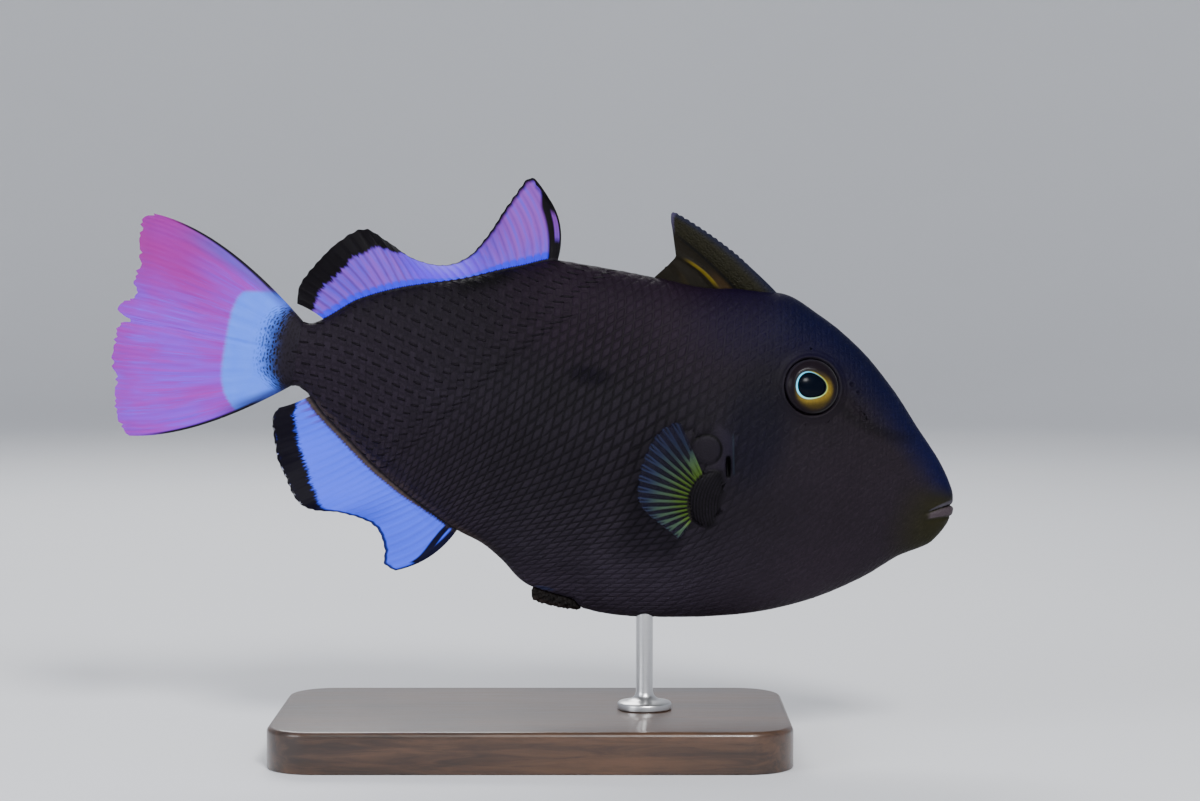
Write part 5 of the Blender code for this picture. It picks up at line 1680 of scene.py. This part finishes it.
def make_tail_paint():
    paint = Paint("tail_paint", roughness=0.6, Specular_IOR_Level=0.1)
    place = paint.place()
    back, side, height = paint.parts(place)
    s = 0 - back
    u, v = paint.mark("u"), paint.mark("v")
    strokes = paint.vector(u * 70.0, v * 2.4, 0.0)
    broad = paint.noise(paint.vector(u * 7.0, v * 1.3, 0.0), 1.0, 3.0, 0.6)
    fine = paint.noise(strokes, 1.2, 4.0, 0.75)
    pink = paint.mix(paint.ease(0.40, 0.62, broad), TAIL_PINK, TAIL_VIOLET)
    pink = paint.mix(paint.ease(0.48, 0.70, fine) * 0.7, pink, TAIL_LAVENDER)
    hot = paint.ease(0.50, 0.66, paint.noise(strokes, 0.8, 2.0, 0.6)) * paint.ease(0.42, 0.62, u)
    pink = paint.mix(hot * 0.5, pink, TAIL_HOT)
    top = paint.ease(0.40, 0.16, u) * paint.ease(0.25, 0.70, v)
    pink = paint.mix(top * 0.85, pink, TAIL_ROSE)
    middle = (height - 9.5) / 16.0
    curve = middle * middle * middle * middle
    line = 217.9 - 3.0 * paint.least(curve, 2.0) + (fine - 0.5) * 1.6
    ceiling = height + 0.17 * (s - 208.0) + (fine - 0.5)
    pale = paint.ease(0.9, -0.9, s - line) * paint.ease(27.0, 25.4, ceiling)
    ice = paint.mix(paint.noise(place, 0.25, 3.0), ICY, ICY_LIGHT)
    tone = paint.mix(pale, pink, ice)
    shoulder = paint.ease(0.10, 0.03, u) * paint.ease(0.85, 0.45, v)
    tone = paint.mix(shoulder * 0.65, tone, (0.045, 0.060, 0.420))
    low = paint.ease(0.90, 0.97, u) * paint.ease(0.45, 0.2, v)
    tone = paint.mix(low * 0.8, tone, (0.030, 0.030, 0.130))
    bend = (height - 11.0) / 11.5
    front = s + 4.5 * bend * bend * bend * bend
    row = paint.off_middle(front)
    dots = paint.cells(paint.vector(front * 1.6, height * 1.1, side), 1.0)
    fade = paint.ease(212.5, 199.5, front + (broad - 0.5) * 4.0)
    marks = paint.ease(0.62, 0.30, dots) * paint.ease(0.0, 0.30, row)
    spread = 0.30 * paint.ease(0.02, 0.25, fade)
    dark = paint.ease(0.08, 0.86, fade + (marks - 0.5) * spread)
    base = paint.tint(paint.vector(*TAIL_DARK), 1.25 - 0.6 * marks)
    tone = paint.mix(dark, tone, base)
    rims = paint.least(u, 1 - u) * (8.0 + 42.0 * v)
    line_dark = paint.ease(0.52, 0.22, rims) * paint.span(0.10, 0.22, 0.70, 0.97, v)
    tone = paint.mix(line_dark, tone, (0.006, 0.004, 0.010))
    alpha = 0.97 - 0.10 * paint.ease(0.82, 1.0, v)
    paint.relief(fine + dots * fade, 0.08)
    return paint.finish(Base_Color=tone, Alpha=alpha)


def make_pectoral_paint():
    paint = Paint("pectoral_paint", roughness=0.5, Specular_IOR_Level=0.15)
    u, v = paint.mark("u"), paint.mark("v")
    across = paint.off_middle(u * PECTORAL_RAYS)
    apart = 0.18 * paint.ease(0.5, 1.0, v)
    half = 0.32 - 0.24 * v
    ray = paint.ease(0.05, -0.05, paint.size(across - apart) - half)
    leaf_width = 0.165 * (1 - (v / 0.52) * (v / 0.52))
    ray = paint.most(ray, paint.ease(0.008, -0.004, u - leaf_width))
    upper = paint.ease(0.36, 0.08, u)
    along = paint.mix(paint.ease(0.20, 0.55, v + 0.10 * upper), (0.047, 0.088, 0.011),
                      (0.036, 0.068, 0.040))
    lower = paint.ease(0.40, 0.95, u)
    along = paint.mix(paint.ease(0.45, 0.85, v - 0.30 * lower), along, (0.009, 0.014, 0.042))
    along = paint.mix(upper * paint.ease(0.34, 0.56, v) * 0.9, along, (0.0055, 0.0080, 0.0260))
    grain = paint.noise(paint.vector(u * 60.0, v * 14.0, 0.0), 1.0, 3.0)
    along = paint.tint(along, 0.7 + 0.6 * grain)
    web = paint.mix(paint.ease(0.2, 1.0, v), (0.0045, 0.0032, 0.0070), (0.0056, 0.0044, 0.0150))
    tone = paint.mix(ray, web, along)
    root = paint.ease(0.115, 0.09, v)
    tone = paint.mix(root, tone, (0.010, 0.009, 0.007))
    alpha = 0.70 + 0.30 * paint.most(ray, root)
    paint.relief(grain, 0.05)
    return paint.finish(Base_Color=tone, Alpha=alpha)


def make_first_dorsal_paint():
    paint = Paint("first_dorsal_paint", roughness=0.6, Specular_IOR_Level=0.1)
    u, v = paint.mark("u"), paint.mark("v")
    place = paint.place()
    grain = paint.cells(place, 1.5)
    speck = paint.noise(place, 0.8, 4.0, 0.7)
    olive = paint.mix(speck, (0.0036, 0.0032, 0.0018), (0.0150, 0.0135, 0.0058))
    olive = paint.mix(paint.ease(0.16, 0.02, u) * 0.85, olive, (0.0070, 0.0085, 0.0230))
    web = paint.mix(speck, (0.0024, 0.0017, 0.0010), (0.0072, 0.0052, 0.0018))
    warm = paint.span(0.36, 0.44, 0.56, 0.60, u) * paint.ease(0.50, 0.10, v)
    web = paint.mix(warm * 0.8, web, (0.0220, 0.0110, 0.0020))
    tone = paint.mix(paint.ease(0.31, 0.37, u), olive, web)
    seam = paint.ease(0.03, 0.012, paint.size(u - 0.36)) * paint.ease(1.0, 0.8, v)
    tone = paint.mix(seam * 0.9, tone, (0.0010, 0.0008, 0.0008))
    second = paint.ease(0.040, 0.012, paint.size(u - 0.583)) * paint.span(0.0, 0.25, 0.60, 0.90, v)
    tone = paint.mix(second * 0.95, tone, (0.084, 0.060, 0.001))
    third = paint.ease(0.035, 0.012, paint.size(u - 0.833)) * paint.ease(0.8, 0.3, v)
    tone = paint.mix(third * 0.25, tone, (0.020, 0.013, 0.002))
    tone = paint.mix(paint.ease(0.955, 0.985, v) * paint.ease(0.40, 0.25, u) * 0.7, tone,
                     (0.050, 0.042, 0.090))
    paint.relief(grain * paint.ease(0.40, 0.30, u) + speck * 0.6, 0.22)
    return paint.finish(Base_Color=tone, Roughness=0.55 + 0.2 * speck)


# Pelvic spine

# Stations along the stub: s, height of its underside and half its width
PELVIC_LINE = (
    (101.8, -49.9, 0.9), (104.0, -50.2, 1.5), (107.5, -50.4, 1.9), (110.0, -50.3, 1.9),
    (113.0, -50.1, 1.8), (115.8, -49.6, 1.6), (117.2, -48.2, 1.0))
PELVIC_NET = (110, 48)
PELVIC_SINK = 0.5
PELVIC_KNOB_RISE = 0.24
PELVIC_GRAIN_RISE = 0.1


def make_pelvic_spine(material):
    """A rough bony stub, knobbed like the real one, sunk a little into the keel."""
    bottom_at = smooth_line([(s, bottom) for s, bottom, half in PELVIC_LINE])
    half_at = smooth_line([(s, half) for s, bottom, half in PELVIC_LINE])
    start, end = PELVIC_LINE[0][0], PELVIC_LINE[-1][0]
    bm = flat_grid(*PELVIC_NET)
    u, v = flat_places(bm)
    v = v % 1.0
    s = start + (end - start) * u
    angle = math.tau * v
    top = belly_at(s) + PELVIC_SINK
    bottom = bottom_at(s)
    knobs = np.sin(s * 3.3 + 1.3 * np.sin(angle * 3)) * np.sin(angle * 5 + s * 0.9)
    rough = PELVIC_KNOB_RISE * knobs + PELVIC_GRAIN_RISE * np.sin(s * 9.1 + angle * 7)
    rough *= ease(0.0, 0.06, u) * ease(1.0, 0.95, u)
    closing = ease(0.0, 0.03, u) * ease(1.0, 0.97, u)
    side = (half_at(s) + rough) * np.cos(angle) * closing
    rise = np.sign(np.sin(angle)) * np.abs(np.sin(angle)) ** 0.8
    height = (top + bottom) / 2 + rise * ((top - bottom) / 2 + rough * (rise < 0)) * closing
    lay(bm, np.stack((-s, side, height), axis=1), weld=True)
    piece = add_piece("pelvic_stub", bm, material)
    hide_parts("pelvic_spine")


def make_pelvic_paint():
    paint = Paint("pelvic_paint", roughness=0.6, Specular_IOR_Level=0.1)
    place = paint.place()
    spots = paint.noise(place, 0.9, 4.0, 0.7)
    back, side, height = paint.parts(place)
    rough = paint.ease(0.35, 0.65, spots)
    tone = paint.mix(rough, (0.0080, 0.0054, 0.0056), (0.0290, 0.0205, 0.0190))
    tone = paint.tint(tone, 1 - 0.8 * paint.ease(-49.4, -48.4, height - 0.12 * (0 - back - 112.0)))
    paint.relief(paint.cells(place, 1.8), 0.2)
    return paint.finish(Base_Color=tone)


# Stand

BASE_SIZE = (150.0, 84.0, 12.0)
BASE_CORNER = 14.0
BASE_BEVEL = 1.6
BASE_LOW_BEVEL = 0.5
ROD_X = 33.0
ROD_RADIUS = 2.5
ROD_TOP = 44.2
FLANGE_RADIUS = 8.0
FLANGE_HEIGHT = 3.0
ROD_SINK = 6.0
SPIN_STEPS = 96


def make_base(material):
    """A low wooden base with round corners and a softened rim."""
    length, depth, height = BASE_SIZE
    bm = bmesh.new()
    bmesh.ops.create_cube(bm, size=1.0)
    bm.transform(Matrix.Diagonal((length * MM, depth * MM, height * MM, 1.0)))

    def round_off(wanted, offset, segments):
        edges = [edge for edge in bm.edges if wanted(*(vert.co.z / MM for vert in edge.verts))]
        bmesh.ops.bevel(bm, geom=edges, offset=offset * MM, segments=segments, profile=0.5,
                        affect="EDGES", material=-1)

    round_off(lambda one, two: abs(one - two) > height / 2, BASE_CORNER, 24)
    round_off(lambda one, two: min(one, two) > 0, BASE_BEVEL, 6)
    round_off(lambda one, two: max(one, two) < -height / 2.01, BASE_LOW_BEVEL, 2)
    bm.transform(Matrix.Translation((0.0, 0.0, height / 2 * MM)))
    piece = add_piece("base_block", bm, material, crease_deg=35.0)
    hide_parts("stand_base")


def spun(outline, center_x=0.0):
    """A solid of revolution about an upright axis, from its (radius, height) outline."""
    bm = bmesh.new()
    verts = [bm.verts.new((center_x + radius, 0.0, height)) for radius, height in outline]
    edges = [bm.edges.new(pair) for pair in zip(verts, verts[1:])]
    bmesh.ops.spin(bm, geom=verts + edges, cent=(center_x, 0.0, 0.0), axis=(0.0, 0.0, 1.0),
                   angle=math.tau, steps=SPIN_STEPS, use_merge=True)
    bmesh.ops.remove_doubles(bm, verts=bm.verts, dist=1e-6)
    bmesh.ops.recalc_face_normals(bm, faces=bm.faces)
    return bm


def make_rod(material):
    """One turned rod, with a stepped flange that sits on the base."""
    foot = BASE_SIZE[2] - ROD_SINK
    seat = BASE_SIZE[2] + 0.05
    crown = seat + FLANGE_HEIGHT
    outline = (
        (0.0, foot), (ROD_RADIUS, foot), (ROD_RADIUS, seat), (FLANGE_RADIUS - 0.3, seat),
        (FLANGE_RADIUS, seat + 0.3), (FLANGE_RADIUS, crown - 1.5), (FLANGE_RADIUS - 0.15, crown - 1.1),
        (FLANGE_RADIUS - 0.5, crown - 0.8), (5.2, crown - 0.35), (4.2, crown), (3.3, crown + 0.5),
        (2.8, crown + 1.2), (ROD_RADIUS, crown + 2.2), (ROD_RADIUS, ROD_TOP - 0.5),
        (ROD_RADIUS - 0.5, ROD_TOP), (0.0, ROD_TOP))
    bm = spun([(radius * MM, height * MM) for radius, height in outline], ROD_X * MM)
    piece = add_piece("rod_turned", bm, material, crease_deg=30.0)
    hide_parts("stand_rod")


def make_wood_paint():
    paint = Paint("wood_paint", roughness=0.32, Coat_Weight=0.35, Coat_Roughness=0.12)
    spot = paint.spot()
    grain = paint.stretched(spot, (40.0, 420.0, 420.0))
    warp = paint.noise(paint.stretched(spot, (9.0, 45.0, 45.0)), 1.0, 3.0)
    rings = paint.noise(grain, 1.0, 6.0, 0.62, 0.6)
    pores = paint.noise(paint.stretched(spot, (260.0, 3600.0, 3600.0)), 1.0, 2.0, 0.6)
    tone = paint.mix(paint.ease(0.34, 0.68, rings * 0.6 + warp * 0.4), (0.020, 0.0095, 0.0055),
                     (0.082, 0.038, 0.018))
    tone = paint.mix(paint.ease(0.62, 0.78, pores) * 0.55, tone, (0.010, 0.005, 0.003))
    paint.relief(pores * 0.6 + rings * 0.4, 0.06)
    return paint.finish(Base_Color=tone, Roughness=0.26 + 0.22 * rings)


def make_steel_paint():
    paint = Paint("steel_paint", roughness=0.3, Metallic=1.0)
    spot = paint.spot()
    turning = paint.noise(paint.stretched(spot, (60.0, 60.0, 5200.0)), 1.0, 3.0, 0.6)
    smudge = paint.noise(spot, 120.0, 3.0)
    tone = paint.mix(turning, (0.52, 0.52, 0.53), (0.66, 0.66, 0.66))
    paint.relief(turning, 0.03)
    return paint.finish(Base_Color=tone, Roughness=0.20 + 0.14 * turning + 0.10 * smudge)


# Room, lights and camera, in metres

ROOM_RADIUS = 2.2
ROOM_HEIGHT = 1.7
ROOM_BEND = 0.6
ROOM_BEND_STEPS = 12

# Round lamps that all face one spot: name, place, width, power and colour
LIGHT_AIM = (0.0, 0.0, 0.09)
LIGHTS = (
    ("key_light", (0.30, -1.05, 0.95), 0.36, 22.0, (1.0, 1.0, 1.0)),
    ("fill_light", (-0.95, -0.75, 0.55), 0.6, 7.0, (0.93, 0.96, 1.0)),
    ("back_light", (-0.2, 0.9, 0.9), 0.7, 9.0, (1.0, 1.0, 1.0)))
AIR_COLOR = (0.92, 0.95, 1.0, 1.0)
AIR_STRENGTH = 0.45


def make_room():
    """A pale floor that turns up all round into a pale wall."""
    inner = ROOM_RADIUS - ROOM_BEND
    outline = [(0.0, 0.0), (0.5, 0.0), (1.0, 0.0), (inner, 0.0)]
    for angle in np.linspace(0.0, math.pi / 2, ROOM_BEND_STEPS + 1)[1:]:
        outline.append((inner + ROOM_BEND * math.sin(angle), ROOM_BEND * (1 - math.cos(angle))))
    outline.append((ROOM_RADIUS, ROOM_HEIGHT))
    bm = spun(outline)
    bmesh.ops.reverse_faces(bm, faces=bm.faces)
    paint = Paint("floor_paint", roughness=0.75)
    spot = paint.spot()
    cloud = paint.noise(spot, 3.0, 3.0)
    tone = paint.mix(cloud, (0.70, 0.71, 0.74), (0.74, 0.75, 0.78))
    floor = new_object("studio_floor", bm, paint.finish(Base_Color=tone))


def facing(spot, aim):
    """The turn of a lamp or a camera at a spot that looks at another."""
    return (Vector(aim) - Vector(spot)).to_track_quat("-Z", "Y").to_euler()


def make_lights():
    for name, spot, width, power, color in LIGHTS:
        lamp = bpy.data.lights.new(name, "AREA")
        lamp.shape = "DISK"
        lamp.size = width
        lamp.energy = power
        lamp.color = color
        made = bpy.data.objects.new(name, lamp)
        made.location = spot
        made.rotation_euler = facing(spot, LIGHT_AIM)
        bpy.context.collection.objects.link(made)
    world = bpy.data.worlds.new("studio_air")
    bpy.context.scene.world = world
    world.use_nodes = True
    air = world.node_tree.nodes["Background"]
    air.inputs["Color"].default_value = AIR_COLOR
    air.inputs["Strength"].default_value = AIR_STRENGTH


def make_camera():
    lens = bpy.data.cameras.new("camera")
    lens.lens = LENS
    lens.sensor_width = SENSOR
    camera = bpy.data.objects.new("camera", lens)
    distance = IMAGE_WIDTH * PIXEL * LENS / SENSOR
    rise = math.radians(CAMERA_RISE_DEG)
    aim = Vector((VIEW_CENTER_X, 0.0, VIEW_CENTER_Z))
    spot = aim + Vector((0.0, -math.cos(rise), math.sin(rise))) * distance
    camera.location = spot * MM
    camera.rotation_euler = facing(spot, aim)
    bpy.context.collection.objects.link(camera)
    bpy.context.scene.camera = camera


def main():
    make_camera()
    make_lights()
    make_room()
    make_skin(make_skin_paint())
    scales = make_coat_paint()
    iris, lens = make_iris_paint(), make_lens_paint()
    pectorals = make_pectoral_paint()
    for side_name, hand in HANDS:
        make_coat(side_name, hand, scales)
        make_eye(side_name, hand, iris, lens)
        make_pectoral(side_name, hand, pectorals)
    make_soft_fin("soft_dorsal", back_at, 1, DORSAL_ROOT_S, DORSAL_EDGE, DORSAL_LEAN,
                  DORSAL_RAYS, DORSAL_BOW, DORSAL_RELIEF, DORSAL_MARGIN, make_dorsal_paint())
    make_soft_fin("anal", belly_at, -1, ANAL_ROOT_S, ANAL_EDGE, ANAL_LEAN,
                  ANAL_RAYS, ANAL_BOW, ANAL_RELIEF, ANAL_MARGIN, make_anal_paint())
    make_tail_fin(make_tail_paint())
    make_first_dorsal(make_first_dorsal_paint())
    make_pelvic_spine(make_pelvic_paint())
    make_base(make_wood_paint())
    make_rod(make_steel_paint())


main()
